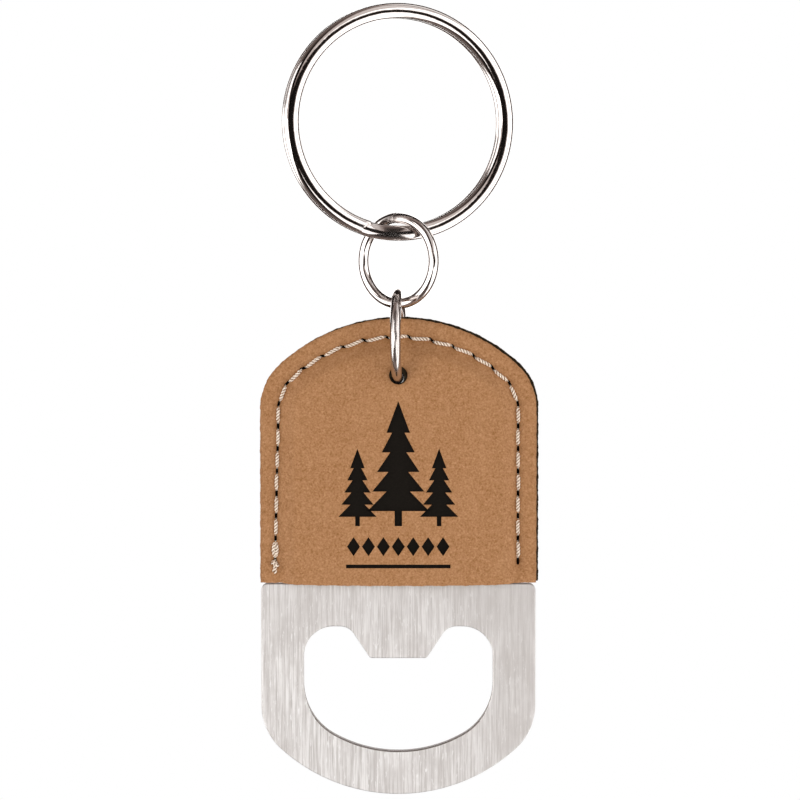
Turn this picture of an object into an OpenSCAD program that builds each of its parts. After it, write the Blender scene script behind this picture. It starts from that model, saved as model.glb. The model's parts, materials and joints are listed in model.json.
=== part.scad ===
// Keychain bottle opener: a steel opener plate sewn between two leather covers,
// hung from a split key ring by two jump rings. Millimetres, +Z up, front face
// towards -Y. The origin is the inside of the key ring's top, where it hangs.

/* [Covers] */
// Width of the leather covers
cover_w = 37.6; // [36:0.2:46]
// Height of the covers, from the crown to their bottom edge
cover_h = 36; // [32:0.5:44]
// Thickness of one cover
cover_t = 1.0; // [0.8:0.05:1.2]
// Thickness of the coloured skin on a cover's black core
skin_t = 0.25; // [0.15:0.05:0.35]
// Radius of the crown at the top of the covers
crown_r = 24; // [22:0.5:30]
// Radius of the corners beside the crown
corner_r = 8.2; // [6.8:0.2:9.8]
// How far the back cover was sewn off to the right
back_shift_x = 0.3; // [0:0.1:0.4]
// How far the back cover was sewn off upwards
back_shift_z = 0.2; // [0:0.1:0.3]
// Distance of the ring hole below the crown
hole_drop = 7.7; // [6.5:0.1:8.2]
// Diameter of the ring hole in the covers
hole_d = 2.5; // [2.4:0.1:3]

/* [Opener plate] */
// Thickness of the steel plate
plate_t = 1.6; // [1.2:0.1:1.9]
// Length of the whole tag, from the covers' crown to the plate's end
tag_h = 65; // [62:0.5:78]
// How far each side of the plate stands back from the covers' side
plate_side_gap = 0.1; // [0:0.05:0.5]
// Radius of the plate's bottom end
plate_end_r = 23.8; // [22:0.2:30]
// Radius of the corners beside the bottom end
plate_corner_r = 8.2; // [6.8:0.2:9.8]
// Gap between the covers' bottom edge and the plate's shoulders
shoulder_gap = 0.15; // [0.1:0.05:0.5]
// Radius of the shoulders' outer corners
shoulder_r = 0.9; // [0.5:0.1:1.5]
// Distance of the tang's edge inside the covers' edge
tang_inset = 4.2; // [4:0.1:5]
// Diameter of the tang's clearance hole
tang_hole_d = 3.2; // [3:0.1:4]

/* [Mouth] */
// Width of the mouth that takes the bottle cap
mouth_w = 25.8; // [24:0.2:27]
// Height of the mouth, from its lobes to its bottom
mouth_h = 17.1; // [15.5:0.1:19]
// Width of steel left below the mouth
mouth_floor = 5.9; // [4:0.1:7]
// Radius of the mouth's bottom
mouth_end_r = 17.8; // [15:0.2:22]
// Radius of the mouth's bottom corners
mouth_corner_r = 8.2; // [6:0.2:9]
// Outer radius of each lobe beside the tongue
lobe_r = 4.1; // [3.5:0.1:4.5]
// Radius of each lobe where it turns down the tongue
lobe_turn_r = 2.25; // [1.8:0.05:2.5]
// Depth of the tongue below the lobes
tongue_h = 4.35; // [4:0.05:5.2]
// Width of the tongue's straight edge
tongue_w = 7.7; // [6:0.1:9]
// Lean of the tongue's flanks from upright, in degrees
tongue_lean = 33.7; // [28:0.1:36]
// Radius of the tongue's two corners
tongue_corner_r = 0.6; // [0.3:0.1:0.8]

/* [Seam] */
// Distance of the seam inside the covers' edge
seam_inset = 2.5; // [2.3:0.1:2.6]
// Height of the seam's ends above the covers' bottom edge
seam_end_h = 3; // [2.6:0.1:5]
// Length aimed at for one stitch
stitch_aim = 3.05; // [2.6:0.05:4]
// Diameter of the thread
thread_d = 0.5; // [0.35:0.05:0.5]
// How far the left leg of the seam drifts outwards at its bottom
seam_drift = 0.5; // [0:0.1:0.6]
// Length of the thread tail left below the first needle hole
tail_l = 1.9; // [1:0.1:2]

/* [Emblem] */
// Height of the tallest engraved pine
pine_h = 17; // [14:0.5:18]
// Width of the tallest engraved pine
pine_w = 8.4; // [6:0.2:10]
// Height of the engraved lozenges
lozenge_h = 2.6; // [1.5:0.1:3]
// Number of engraved lozenges
lozenges = 7; // [5:2:9]

/* [Rings] */
// Outer diameter of the split key ring
key_ring_d = 32.2; // [26:0.2:40]
// Radial width of the key ring's wire
key_wire_w = 2.1; // [1.7:0.1:2.6]
// Thickness of one turn of the key ring's wire
key_wire_t = 1.15; // [0.9:0.05:1.4]
// Gap between the two turns
key_turn_gap = 0.06; // [0.04:0.01:0.2]
// Outer diameter of the link ring and of the jump ring
small_ring_d = 13.1; // [12.4:0.1:15.8]
// Wire diameter of the link ring and of the jump ring
small_wire_d = 1.45; // [1.2:0.05:1.55]
// Width of the slit where a small ring's ends meet
ring_slit = 0.14; // [0.08:0.02:0.3]
// Clearance between rings that hang on each other
ring_play = 0.08; // [0.06:0.01:0.2]

/* [Hang] */
// Turn of the key ring about the upright, in degrees
key_turn = 15; // [0:1:20]
// Turn of the link ring about the upright, in degrees
link_turn = -35; // [-40:1:-30]
// Turn of the jump ring about the upright, in degrees
jump_turn = 86; // [79:1:90]

/* [Hidden] */
$fn = 96;
past = 1; // how far a cutter runs past what it cuts
hair = 0.02; // gap that keeps touching pieces apart

// Key ring
key_mean_r = (key_ring_d - key_wire_w) / 2;
key_inner_r = key_ring_d / 2 - key_wire_w;
key_z = -key_inner_r;
key_offset_y = (key_wire_t + key_turn_gap) / 2;
key_crown_r = key_wire_w * 2 / 3; // radius of the wire's crowned faces
key_front_end = 252.4; // angle of the front turn's cut end
key_ramp_from = 254; // the ramp runs between the turns, rear end first
key_ramp_to = 279;
key_rear_end = 281; // angle of the rear turn's cut end
ramp_steps = 10;
ramp_lap = 1.5; // degrees that the ramp reaches into each turn
link_slit_angle = 92; // angle of the link ring's slit, from the right
jump_slit_angle = 20; // angle of the jump ring's slit
slit_slant = 25; // degrees by which a slit is cut aslant
// Half thickness of a turn at its edges, past its crowned face
key_edge_half = key_wire_t / 2 - key_crown_r
                + sqrt(pow(key_crown_r, 2) - pow(key_wire_w / 2, 2));
// The link ring turns round the two turns together, as far out as their corners reach
key_reach = norm([key_wire_w / 2, key_offset_y + key_edge_half]);

// Small rings, from the key ring down
small_mean_r = (small_ring_d - small_wire_d) / 2;
link_top_z = key_z - key_mean_r + key_reach + ring_play + small_wire_d / 2;
link_z = link_top_z - small_mean_r;
jump_top_z = link_z - small_mean_r + small_wire_d + ring_play;
jump_z = jump_top_z - small_mean_r;
jump_foot_z = jump_z - small_mean_r;

// Tag: the jump ring's wire lies at the foot of the hole
tag_half_t = plate_t / 2 + cover_t;
hole_z = jump_foot_z + (hole_d - small_wire_d) / 2 - ring_play;
top_z = hole_z + hole_drop;
cover_foot_z = top_z - cover_h;
foot_z = top_z - tag_h;
shoulder_z = cover_foot_z - shoulder_gap;
plate_half = cover_w / 2 - plate_side_gap;

// Bulge of a cover over the tang
bulge_foot_inset = seam_inset + 0.55;
bulge_top_inset = tang_inset + 0.1;
tang_gap = 0.08; // room round the tang's edge inside the covers

// Centre of an arch's corner arcs below its apex, as [x, z]
function corner_centre(half, r, big) =
    [half - r, sqrt(pow(big - r, 2) - pow(half - r, 2)) - big];
// Angle from upright at which an arch's crown meets its corner
function join_angle(half, r, big) =
    let (c = corner_centre(half, r, big)) atan2(c.x, c.y + big);
// Points of an arch with its apex at the origin, down to z = -h, inset all round but at its foot
function arch_points(half, r, big, h, inset, steps = 12) =
    let (c = corner_centre(half, r, big), join = join_angle(half, r, big))
    concat(
        [[half - inset, -h]],
        arc(c, r - inset, 0, 90 - join, steps),
        arc([0, -big], big - inset, 90 - join + join / steps, 90 + join - join / steps,
            2 * steps - 2),
        arc([-c.x, c.y], r - inset, 90 + join, 180, steps),
        [[-half + inset, -h]]);

// Points of an arc, its angles counted from the right
function arc(centre, r, from, to, steps) =
    [for (i = [0:steps]) let (a = from + (to - from) * i / steps)
        centre + r * [cos(a), sin(a)]];

// The arch with true arcs: its apex at the origin and its foot at z = -h
module arch(half, r, big, h, inset = 0) {
    c = corner_centre(half, r, big);
    join = join_angle(half, r, big);
    out = 2 * big * [sin(join), cos(join)];
    intersection() {
        union() {
            translate([-half, -h]) square([2 * half, h + c.y]);
            for (side = [-1, 1]) translate([side * c.x, c.y]) circle(r - inset);
            intersection() {
                translate([0, -big]) circle(big - inset);
                polygon([c, c + out, [-c.x - out.x, c.y + out.y], [-c.x, c.y]]);
            }
        }
        translate([-half + inset, -h]) square([2 * (half - inset), h]);
    }
}

// Draws a flat shape of x and z upright, from y to y + t
module upright(y, t) {
    translate([0, y + t, 0]) rotate([90, 0, 0]) linear_extrude(t) children();
}

// ---- Opener plate ----

// The right half of the mouth's edge, from the tongue's middle round to the bottom's
function mouth_edge() =
    let (lean = tongue_lean,
         fillet_back = tongue_corner_r * tan((90 - lean) / 2),
         turn_x = tongue_w / 2 + lobe_turn_r * cos(lean)
                  + (tongue_h - lobe_turn_r * (1 - sin(lean))) * tan(lean),
         c = corner_centre(mouth_w / 2, mouth_corner_r, mouth_end_r),
         join = join_angle(mouth_w / 2, mouth_corner_r, mouth_end_r))
    concat(
        arc([tongue_w / 2 - fillet_back, tongue_corner_r - tongue_h],
            tongue_corner_r, -90, -lean, 4),
        arc([turn_x, -lobe_turn_r], lobe_turn_r, 180 - lean, 90, 8),
        arc([mouth_w / 2 - lobe_r, -lobe_r], lobe_r, 90, 0, 12),
        arc([c.x, -c.y - mouth_h], mouth_corner_r, 0, join - 90, 12),
        arc([0, mouth_end_r - mouth_h], mouth_end_r, join - 90, -90, 8));

module mouth_outline() {
    edge = mouth_edge();
    n = len(edge);
    polygon(concat(edge, [for (i = [n - 2:-1:0]) [-edge[i].x, edge[i].y]]));
}

// The plate's outline, its apex at the covers' crown
module plate_outline() {
    tang_half = cover_w / 2 - tang_inset;
    // Tang
    arch(cover_w / 2, corner_r, crown_r, cover_h + shoulder_gap + past, tang_inset);
    // Blade: an arch with its apex down
    blade_h = tag_h - cover_h - shoulder_gap;
    translate([0, -tag_h]) mirror([0, 1])
        arch(plate_half, plate_corner_r, plate_end_r, blade_h - shoulder_r);
    for (side = [-1, 1])
        translate([side * (plate_half - shoulder_r), -tag_h + blade_h - shoulder_r])
            circle(shoulder_r);
    translate([shoulder_r - plate_half, -tag_h + blade_h - 2 * shoulder_r])
        square([2 * (plate_half - shoulder_r), 2 * shoulder_r]);
}

module opener_plate() {
    color("silver") translate([0, 0, top_z]) difference() {
        upright(-plate_t / 2, plate_t) plate_outline();
        upright(-plate_t / 2 - past, plate_t + 2 * past)
            translate([0, mouth_floor + mouth_h - tag_h]) mouth_outline();
        upright(-plate_t / 2 - past, plate_t + 2 * past)
            translate([0, -hole_drop]) circle(d = tang_hole_d);
    }
}

// ---- Seam ----

seam_half = cover_w / 2 - seam_inset;
seam_c = corner_centre(cover_w / 2, corner_r, crown_r);
seam_join = join_angle(cover_w / 2, corner_r, crown_r);
leg_l = seam_c.y + cover_h - seam_end_h;
corner_l = (corner_r - seam_inset) * (90 - seam_join) * PI / 180;
crown_l = (crown_r - seam_inset) * 2 * seam_join * PI / 180;
seam_l = 2 * leg_l + 2 * corner_l + crown_l;
stitches = round(seam_l / stitch_aim);
stitch_l = seam_l / stitches;

// Point of the seam at a length from its left end, as [x, z] below the crown
function seam_point(s) =
    s < leg_l ? [-seam_half - seam_drift * (1 - s / leg_l), seam_c.y - leg_l + s] :
    s < leg_l + corner_l ?
        let (a = 180 - (s - leg_l) / corner_l * (90 - seam_join))
        [-seam_c.x + (corner_r - seam_inset) * cos(a),
         seam_c.y + (corner_r - seam_inset) * sin(a)] :
    s <= seam_l / 2 ?
        let (a = 90 + seam_join * (1 - (s - leg_l - corner_l) / (crown_l / 2)))
        [(crown_r - seam_inset) * cos(a), (crown_r - seam_inset) * sin(a) - crown_r] :
    let (twin = seam_point(seam_l - s), leg = seam_l - s < leg_l)
    [leg ? seam_half : -twin.x, twin.y];

needle_holes = [for (k = [0:stitches]) seam_point(k * stitch_l)];
function unit(v) = v / norm(v);
// Direction of stitch k, and of the thread's tail below the first hole
function stitch_dir(k) =
    unit(needle_holes[max(k, 0) + 1] - needle_holes[max(k, 0)]);

strand_gap = thread_d / 2 + hair; // half the distance between the strands in one hole
surface_y = cover_t + thread_d / 2 + hair; // depth of the thread's centre on the cover
loop_y = thread_d / 2 + hair; // depth of the thread's centre at its loop in the hole
bend = 0.33; // how far a bend reaches along the stitch
mid_bend = bend * 0.3; // how far the bend's middle point stands off its two arms
loop_step = 50; // degrees from the loop's lowest point to the next

// One end of a stitch, from its loop in the hole out to the cover, as [along, depth]
stitch_end = [[0, loop_y],
              [strand_gap * sin(loop_step), loop_y + strand_gap * (1 - cos(loop_step))],
              [strand_gap, loop_y + strand_gap],
              [strand_gap, surface_y - bend],
              [strand_gap + mid_bend, surface_y - mid_bend],
              [strand_gap + bend, surface_y]];
// The whole thread's centre line as [x, depth, z, dir_x, dir_z]
function thread_line() = concat(
    let (d = stitch_dir(-1), h = needle_holes[0])
    [for (p = [[-tail_l, surface_y], [-strand_gap - bend, surface_y],
               [-strand_gap - mid_bend, surface_y - mid_bend],
               [-strand_gap, surface_y - bend], [-strand_gap, loop_y + strand_gap],
               [-strand_gap * sin(loop_step), loop_y + strand_gap * (1 - cos(loop_step))]])
        [h.x + d.x * p.x, p.y, h.y + d.y * p.x, d.x, d.y]],
    [for (k = [0:stitches - 1]) let (d = stitch_dir(k), h = needle_holes[k],
                                     g = needle_holes[k + 1], n = len(stitch_end))
        each concat(
            [for (p = stitch_end) [h.x + d.x * p.x, p.y, h.y + d.y * p.x, d.x, d.y]],
            [for (i = [n - 1:-1:1]) let (p = stitch_end[i])
                [g.x - d.x * p.x, p.y, g.y - d.y * p.x, d.x, d.y]])],
    let (d = stitch_dir(stitches - 1), h = needle_holes[stitches])
    [[h.x, loop_y, h.y, d.x, d.y]]);

thread_sides = 6;
// Ring of points round the thread's centre line, in a frame across its path
function thread_ring(line, i) =
    let (a = line[max(i - 1, 0)], b = line[min(i + 1, len(line) - 1)], m = line[i],
         along = unit([b[0] - a[0], b[1] - a[1], b[2] - a[2]]),
         across = unit([-m[4], 0, m[3]]),
         out = cross(along, across))
    [for (j = [0:thread_sides - 1]) let (t = 360 * (j + 0.5) / thread_sides)
        [m[0], m[1], m[2]] + thread_d / 2 * (cos(t) * across + sin(t) * unit(out))];

// A sewing thread on the side where y is positive; the front one is mirrored
module thread() {
    line = thread_line();
    rings = len(line);
    n = thread_sides;
    polyhedron(
        points = [for (i = [0:rings - 1]) each thread_ring(line, i)],
        faces = concat(
            [[for (j = [0:n - 1]) n - 1 - j]],
            [for (i = [0:rings - 2], j = [0:n - 1]) let (k = (j + 1) % n)
                each [[i * n + j, i * n + k, (i + 1) * n + k],
                      [i * n + j, (i + 1) * n + k, (i + 1) * n + j]]],
            [[for (j = [0:n - 1]) (rings - 1) * n + j]]));
}

module needle_thread() {
    color("wheat") translate([0, 0, top_z]) mirror([0, 1, 0]) thread();
}

module bobbin_thread() {
    color("wheat") translate([0, 0, top_z]) thread();
}

// ---- Covers ----

slot_room = 4 * hair; // how much wider than the thread a needle hole is
hole_slot_w = thread_d + slot_room;
hole_slot_l = 2 * strand_gap + thread_d + slot_room;

// The needle holes, through y of 0 to 3 plate thicknesses
module needle_slots() {
    for (k = [0:stitches]) {
        before = k > 0 ? stitch_dir(k - 1) : stitch_dir(0);
        after = k < stitches ? stitch_dir(k) : stitch_dir(stitches - 1);
        d = unit(before + after);
        translate([needle_holes[k].x, -past, needle_holes[k].y])
            rotate([0, -atan2(d.y, d.x), 0])
            upright(0, cover_t + plate_t + 2 * past)
            square([hole_slot_l, hole_slot_w], center = true);
    }
}

// The outside of a cover, less a depth off its outer face, for y above 0
module cover_block(depth) {
    upright(0, cover_t - depth) arch(cover_w / 2, corner_r, crown_r, cover_h);
    hull() {
        upright(cover_t - depth - hair, hair)
            polygon(arch_points(cover_w / 2, corner_r, crown_r, cover_h, bulge_foot_inset));
        upright(cover_t + plate_t / 2 - depth - hair, hair)
            polygon(arch_points(cover_w / 2, corner_r, crown_r, cover_h, bulge_top_inset));
    }
}

// What passes through a cover: the tang's pocket, the ring hole and the needle holes
module cover_cuts(shift) {
    translate(-shift) {
        upright(-past, plate_t / 2 + past)
            arch(cover_w / 2, corner_r, crown_r, cover_h + past, tang_inset - tang_gap);
        upright(-past, tag_half_t + 2 * past)
            translate([0, -hole_drop]) circle(d = hole_d);
        needle_slots();
    }
}

// A cover's black core, or its coloured skin
module core(shift) {
    difference() {
        cover_block(skin_t);
        cover_cuts(shift);
    }
}

module skin(shift) {
    difference() {
        cover_block(0);
        cover_block(skin_t);
        upright(-past, cover_t - skin_t + past)
            arch(cover_w / 2 + past, corner_r, crown_r + past, cover_h + past);
        cover_cuts(shift);
    }
}

back_shift = [back_shift_x, 0, back_shift_z];

module front_core() {
    color("#241f1a") translate([0, 0, top_z]) mirror([0, 1, 0]) core([0, 0, 0]);
}

module back_core() {
    color("#241f1a") translate([0, 0, top_z] + back_shift) core(back_shift);
}

module front_skin() {
    color("#b08159") translate([0, 0, top_z]) mirror([0, 1, 0]) difference() {
        skin([0, 0, 0]);
        upright(tag_half_t - skin_t - past, skin_t + 2 * past) emblem();
    }
}

module back_skin() {
    color("#b08159") translate([0, 0, top_z] + back_shift) skin(back_shift);
}

// ---- Emblem: three pines over a row of lozenges and a rule ----

pine_foot_drop = 28.2; // how far the ground line lies below the crown
lozenge_drop = 31; // how far the lozenges' centres lie below the crown
rule_drop = 33.7; // how far the rule lies below the crown
rule_t = 0.5; // thickness of the rule
tiers = 5; // tiers of branches on a pine
tier_pitch = 0.62; // distance from one tier to the next, as a share of a tier's height
tier_shrink = 0.155; // how much narrower each tier is, as a share of the lowest
trunk_size = 0.12; // height and width of the trunk, as a share of the pine's
side_pine = 0.62; // size of the side pines, as a share of the tallest
side_pine_x = 0.66; // how far out the side pines stand, as a share of its width
lozenge_pitch = 0.78; // distance between lozenges, as a share of their height
lozenge_half = 0.34; // half width of a lozenge, as a share of its height

module pine(h, w) {
    trunk_h = h * trunk_size;
    tier_h = (h - trunk_h) / ((tiers - 1) * tier_pitch + 1);
    for (i = [0:tiers - 1]) {
        foot = trunk_h + i * tier_h * tier_pitch;
        half = w / 2 * (1 - i * tier_shrink);
        polygon([[-half, foot], [half, foot], [0, foot + tier_h]]);
    }
    translate([-w * trunk_size / 2, 0]) square([w * trunk_size, trunk_h + hair]);
}

module emblem() {
    translate([0, -pine_foot_drop]) {
        pine(pine_h, pine_w);
        for (side = [-1, 1])
            translate([side * pine_w * side_pine_x, 0])
                pine(pine_h * side_pine, pine_w * side_pine);
    }
    pitch = lozenge_h * lozenge_pitch;
    half = lozenge_h * lozenge_half;
    for (i = [0:lozenges - 1])
        translate([(i - (lozenges - 1) / 2) * pitch, -lozenge_drop])
            polygon([[-half, 0], [0, -lozenge_h / 2], [half, 0], [0, lozenge_h / 2]]);
    translate([-lozenges * pitch / 2, -rule_drop - rule_t / 2])
        square([lozenges * pitch, rule_t]);
}

// ---- Rings ----

// A ring of round wire in the plane of x and z, with a slanted slit at an angle
module small_ring(slit_angle) {
    difference() {
        rotate([90, 0, 0]) rotate_extrude() translate([small_mean_r, 0])
            circle(d = small_wire_d);
        rotate([0, -slit_angle, 0]) translate([small_mean_r, 0, 0])
            rotate([slit_slant, 0, 0])
            cube([2 * small_wire_d, 3 * small_wire_d, ring_slit], center = true);
    }
}

module link_ring() {
    color("#c9c6c4") translate([0, 0, link_z]) rotate([0, 0, link_turn])
        small_ring(link_slit_angle);
}

module jump_ring() {
    color("#c9c6c4") translate([0, 0, jump_z]) rotate([0, 0, jump_turn])
        small_ring(jump_slit_angle);
}

module key_section() {
    crown_drop = key_crown_r - key_wire_t / 2;
    intersection() {
        square([key_wire_w, key_wire_t], center = true);
        translate([0, -crown_drop]) circle(key_crown_r);
        translate([0, crown_drop]) circle(key_crown_r);
    }
}

// The same section as points, drawn in by a hair so that it ends inside a turn
function section_points(steps = 8) =
    let (w = key_wire_w / 2 - hair / 2, t = key_wire_t / 2 - hair / 2)
    [for (side = [1, -1], i = [0:steps]) let (x = side * w * (1 - 2 * i / steps))
        [x, side * (t - key_crown_r + sqrt(pow(key_crown_r, 2) - x * x))]];

// A turn of the key ring from one angle to another, y off the middle
module key_turn_arc(from, to, y) {
    translate([0, y, 0]) rotate([0, -from, 0]) rotate([90, 0, 0])
        rotate_extrude(angle = to - from) translate([key_mean_r, 0]) key_section();
}

// The stretch of wire that crosses from the front turn to the rear one
module key_ramp() {
    section = section_points();
    n = len(section);
    span = key_ramp_to - key_ramp_from;
    total = ramp_steps + 2;
    function share(i) = min(max((i - 1) / ramp_steps, 0), 1);
    function at(i) = i == 0 ? key_ramp_from - ramp_lap :
                     i == total ? key_ramp_to + ramp_lap :
                     key_ramp_from + span * share(i);
    function depth(i) = key_offset_y * cos(180 * share(i));
    polyhedron(
        points = [for (i = [0:total], p = section)
            [(key_mean_r + p.x) * cos(at(i)), depth(i) + p.y,
             (key_mean_r + p.x) * sin(at(i))]],
        faces = concat(
            [[for (j = [0:n - 1]) j]],
            [for (i = [0:total - 1], j = [0:n - 1]) let (k = (j + 1) % n)
                each [[i * n + j, (i + 1) * n + k, i * n + k],
                      [i * n + j, (i + 1) * n + j, (i + 1) * n + k]]],
            [[for (j = [0:n - 1]) total * n + n - 1 - j]]));
}

module key_ring() {
    color("#c9c6c4") translate([0, 0, key_z]) rotate([0, 0, key_turn]) union() {
        key_turn_arc(key_ramp_to - 360, key_front_end, -key_offset_y);
        key_turn_arc(key_rear_end - 360, key_ramp_from, key_offset_y);
        key_ramp();
    }
}

opener_plate();
front_core();
front_skin();
back_core();
back_skin();
needle_thread();
bobbin_thread();
jump_ring();
link_ring();
key_ring();
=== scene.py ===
"""Leather-covered bottle opener on a split key ring: the looks built round its packed frame."""
import json
import math

import bpy
import numpy as np
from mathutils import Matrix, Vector
from mathutils.geometry import delaunay_2d_cdt


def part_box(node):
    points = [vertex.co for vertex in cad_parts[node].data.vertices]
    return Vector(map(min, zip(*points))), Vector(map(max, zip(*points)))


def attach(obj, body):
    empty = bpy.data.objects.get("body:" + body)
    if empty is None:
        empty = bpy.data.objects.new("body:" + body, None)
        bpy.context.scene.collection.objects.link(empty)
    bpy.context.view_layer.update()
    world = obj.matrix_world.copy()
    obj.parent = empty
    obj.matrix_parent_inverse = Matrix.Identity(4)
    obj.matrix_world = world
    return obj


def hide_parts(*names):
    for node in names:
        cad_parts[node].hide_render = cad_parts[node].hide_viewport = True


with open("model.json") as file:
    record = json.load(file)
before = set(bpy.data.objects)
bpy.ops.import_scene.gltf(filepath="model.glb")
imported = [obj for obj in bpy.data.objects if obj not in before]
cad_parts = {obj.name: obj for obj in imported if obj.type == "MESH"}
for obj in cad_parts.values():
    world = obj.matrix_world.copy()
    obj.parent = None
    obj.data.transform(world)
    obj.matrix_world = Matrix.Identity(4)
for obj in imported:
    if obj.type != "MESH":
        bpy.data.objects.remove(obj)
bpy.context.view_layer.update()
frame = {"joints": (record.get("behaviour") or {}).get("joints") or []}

bl_info = {
    "name": "Keychain bottle opener",
    "version": (1, 0, 0),
    "blender": (4, 5, 0),
    "location": "View3D > Sidebar > Opener",
    "description": "Builds a leather-covered keychain bottle opener round its frame",
    "category": "Object",
}


def mm(x):
    """Millimetres in metres."""
    return x * 1e-3


def node_box(name):
    """Lowest and highest corner of a frame node, as arrays."""
    lo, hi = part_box(name)
    return np.array(lo), np.array(hi)


def joint_reach(name):
    """How far a joint of the frame turns from rest, in radians."""
    for joint in frame["joints"]:
        if joint["name"] == name:
            return math.radians(max(abs(limit) for limit in joint["range_deg"]))
    raise RuntimeError(f"the frame has no joint {name}")


SKIN_LO, SKIN_HI = node_box("front_skin")
BACK_LO, BACK_HI = node_box("back_skin")
PLATE_LO, PLATE_HI = node_box("opener_plate")
LINK_LO, LINK_HI = node_box("link_ring")
JUMP_LO, JUMP_HI = node_box("jump_ring")
KEY_LO, KEY_HI = node_box("key_ring")

COVER_W = SKIN_HI[0] - SKIN_LO[0]
COVER_H = SKIN_HI[2] - SKIN_LO[2]
PLATE_T = PLATE_HI[1] - PLATE_LO[1]
COVER_T = -SKIN_LO[1] - PLATE_T / 2
BACK_SHIFT = np.array([BACK_HI[0] - SKIN_HI[0], BACK_HI[2] - SKIN_HI[2]])
KEY_RING_D = KEY_HI[2] - KEY_LO[2]
SMALL_RING_D = LINK_HI[2] - LINK_LO[2]


# ---------------------------------------------------------------- sizes and colours

def number(name, default, description, **more):
    """A plain number, or one with a unit or a subtype."""
    return bpy.props.FloatProperty(name=name, default=default, description=description,
                                   **more)


def length(name, default, description):
    """A length in metres."""
    return number(name, default, description, unit="LENGTH", precision=5)


def angle(name, degrees, description):
    """An angle, given in degrees and kept in radians."""
    return number(name, math.radians(degrees), description, subtype="ANGLE")


def share(name, default, description):
    """A number from 0 to 1."""
    return number(name, default, description, subtype="FACTOR", min=0, max=1)


def count(name, default, description):
    """A whole number."""
    return bpy.props.IntProperty(name=name, default=default, description=description)


def tint(name, default, description):
    """A colour."""
    return bpy.props.FloatVectorProperty(
        name=name, default=default, description=description, subtype="COLOR", size=3,
        min=0, max=1)


class CoverSizes(bpy.types.PropertyGroup):
    """The two leather covers."""
    width: length("Width", COVER_W, "Width of a cover")
    height: length("Height", COVER_H, "Height of a cover at its crown")
    thickness: length("Thickness", COVER_T, "Thickness of a cover")
    skin: length("Skin", mm(0.25), "Thickness of the coloured skin on the black board")
    crown: length("Crown", mm(24), "Radius of the crown")
    corner: length("Corner", mm(8.2), "Radius of the corners beside the crown")
    hole_drop: length("Hole drop", mm(7.7), "Distance of the ring hole below the crown")
    hole: length("Hole", mm(2.5), "Diameter of the ring hole")
    tang_inset: length("Tang inset", mm(4.2), "Distance of the tang inside the edge")
    bulge_from: length("Bulge from", mm(2.75), "Inset at which the cover starts to rise")
    bulge_to: length("Bulge to", mm(4.9), "Inset at which the cover lies flat on the tang")
    ravel: length("Ravel", mm(0.045), "Unevenness of the cut edge")
    foot_bow: length("Foot bow", mm(0.38), "How far the foot bows down over the plate")
    grid: length("Grid", mm(0.32), "Spacing of the skin's mesh")
    board_grid: length("Board grid", mm(0.75), "Spacing of the board's mesh")
    board_gap: length("Board gap", mm(0.03), "Glue line between skin and board")


class SeamSizes(bpy.types.PropertyGroup):
    """The sewn seam."""
    inset: length("Inset", mm(2.5), "Distance of the seam inside the covers' edge")
    end_height: length("End height", mm(3), "Height of the seam's ends above the foot")
    stitch: length("Stitch", mm(3.05), "Length aimed at for one stitch")
    drift: length("Drift", mm(0.5), "How far the left leg leans out at its foot")
    thread: length("Thread", mm(0.45), "Diameter of the thread")
    twist: length("Twist", mm(0.86), "Length of one turn of the thread's twist")
    plies: count("Plies", 2, "Strands twisted into the thread")
    hole_l: length("Hole length", mm(1.0), "Length of a needle hole")
    hole_w: length("Hole width", mm(0.34), "Width of a needle hole")
    hole_slant: angle("Hole slant", -30, "Slant of the needle holes along the crown")
    stitch_slant: length("Stitch slant", mm(0.16), "Slant of the stitches along the crown")
    tail: length("Tail", mm(1.8), "Length of the thread's tail")


class PlateSizes(bpy.types.PropertyGroup):
    """The steel opener plate."""
    thickness: length("Thickness", PLATE_T, "Thickness of the plate")
    half_width: length("Half width", PLATE_HI[0], "Half the width of the blade")
    end: length("End", mm(23.8), "Radius of the plate's bottom end")
    corner: length("Corner", mm(8.2), "Radius of the corners beside the bottom end")
    shoulder: length("Shoulder", mm(0.9), "Radius of the shoulders' corners")
    shoulder_gap: length("Shoulder gap", mm(0.15), "Gap between covers and shoulders")
    edge: length("Edge", mm(0.16), "Radius to which the edges are tumbled")
    mouth_w: length("Mouth width", mm(25.8), "Width of the mouth")
    mouth_h: length("Mouth height", mm(17.1), "Height of the mouth")
    mouth_floor: length("Mouth floor", mm(5.9), "Steel left below the mouth")
    mouth_end: length("Mouth end", mm(17.8), "Radius of the mouth's bottom")
    mouth_corner: length("Mouth corner", mm(8.2), "Radius of the mouth's bottom corners")
    lobe: length("Lobe", mm(4.1), "Outer radius of each lobe beside the tongue")
    lobe_turn: length("Lobe turn", mm(2.25), "Radius where a lobe turns down the tongue")
    tongue_h: length("Tongue height", mm(4.35), "Depth of the tongue below the lobes")
    tongue_w: length("Tongue width", mm(7.7), "Width of the tongue's straight edge")
    tongue_corner: length("Tongue corner", mm(0.6), "Radius of the tongue's corners")
    tongue_lean: angle("Tongue lean", 33.7, "Lean of the tongue's flanks from upright")
    tang_hole: length("Tang hole", mm(3.2), "Diameter of the tang's clearance hole")


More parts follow.
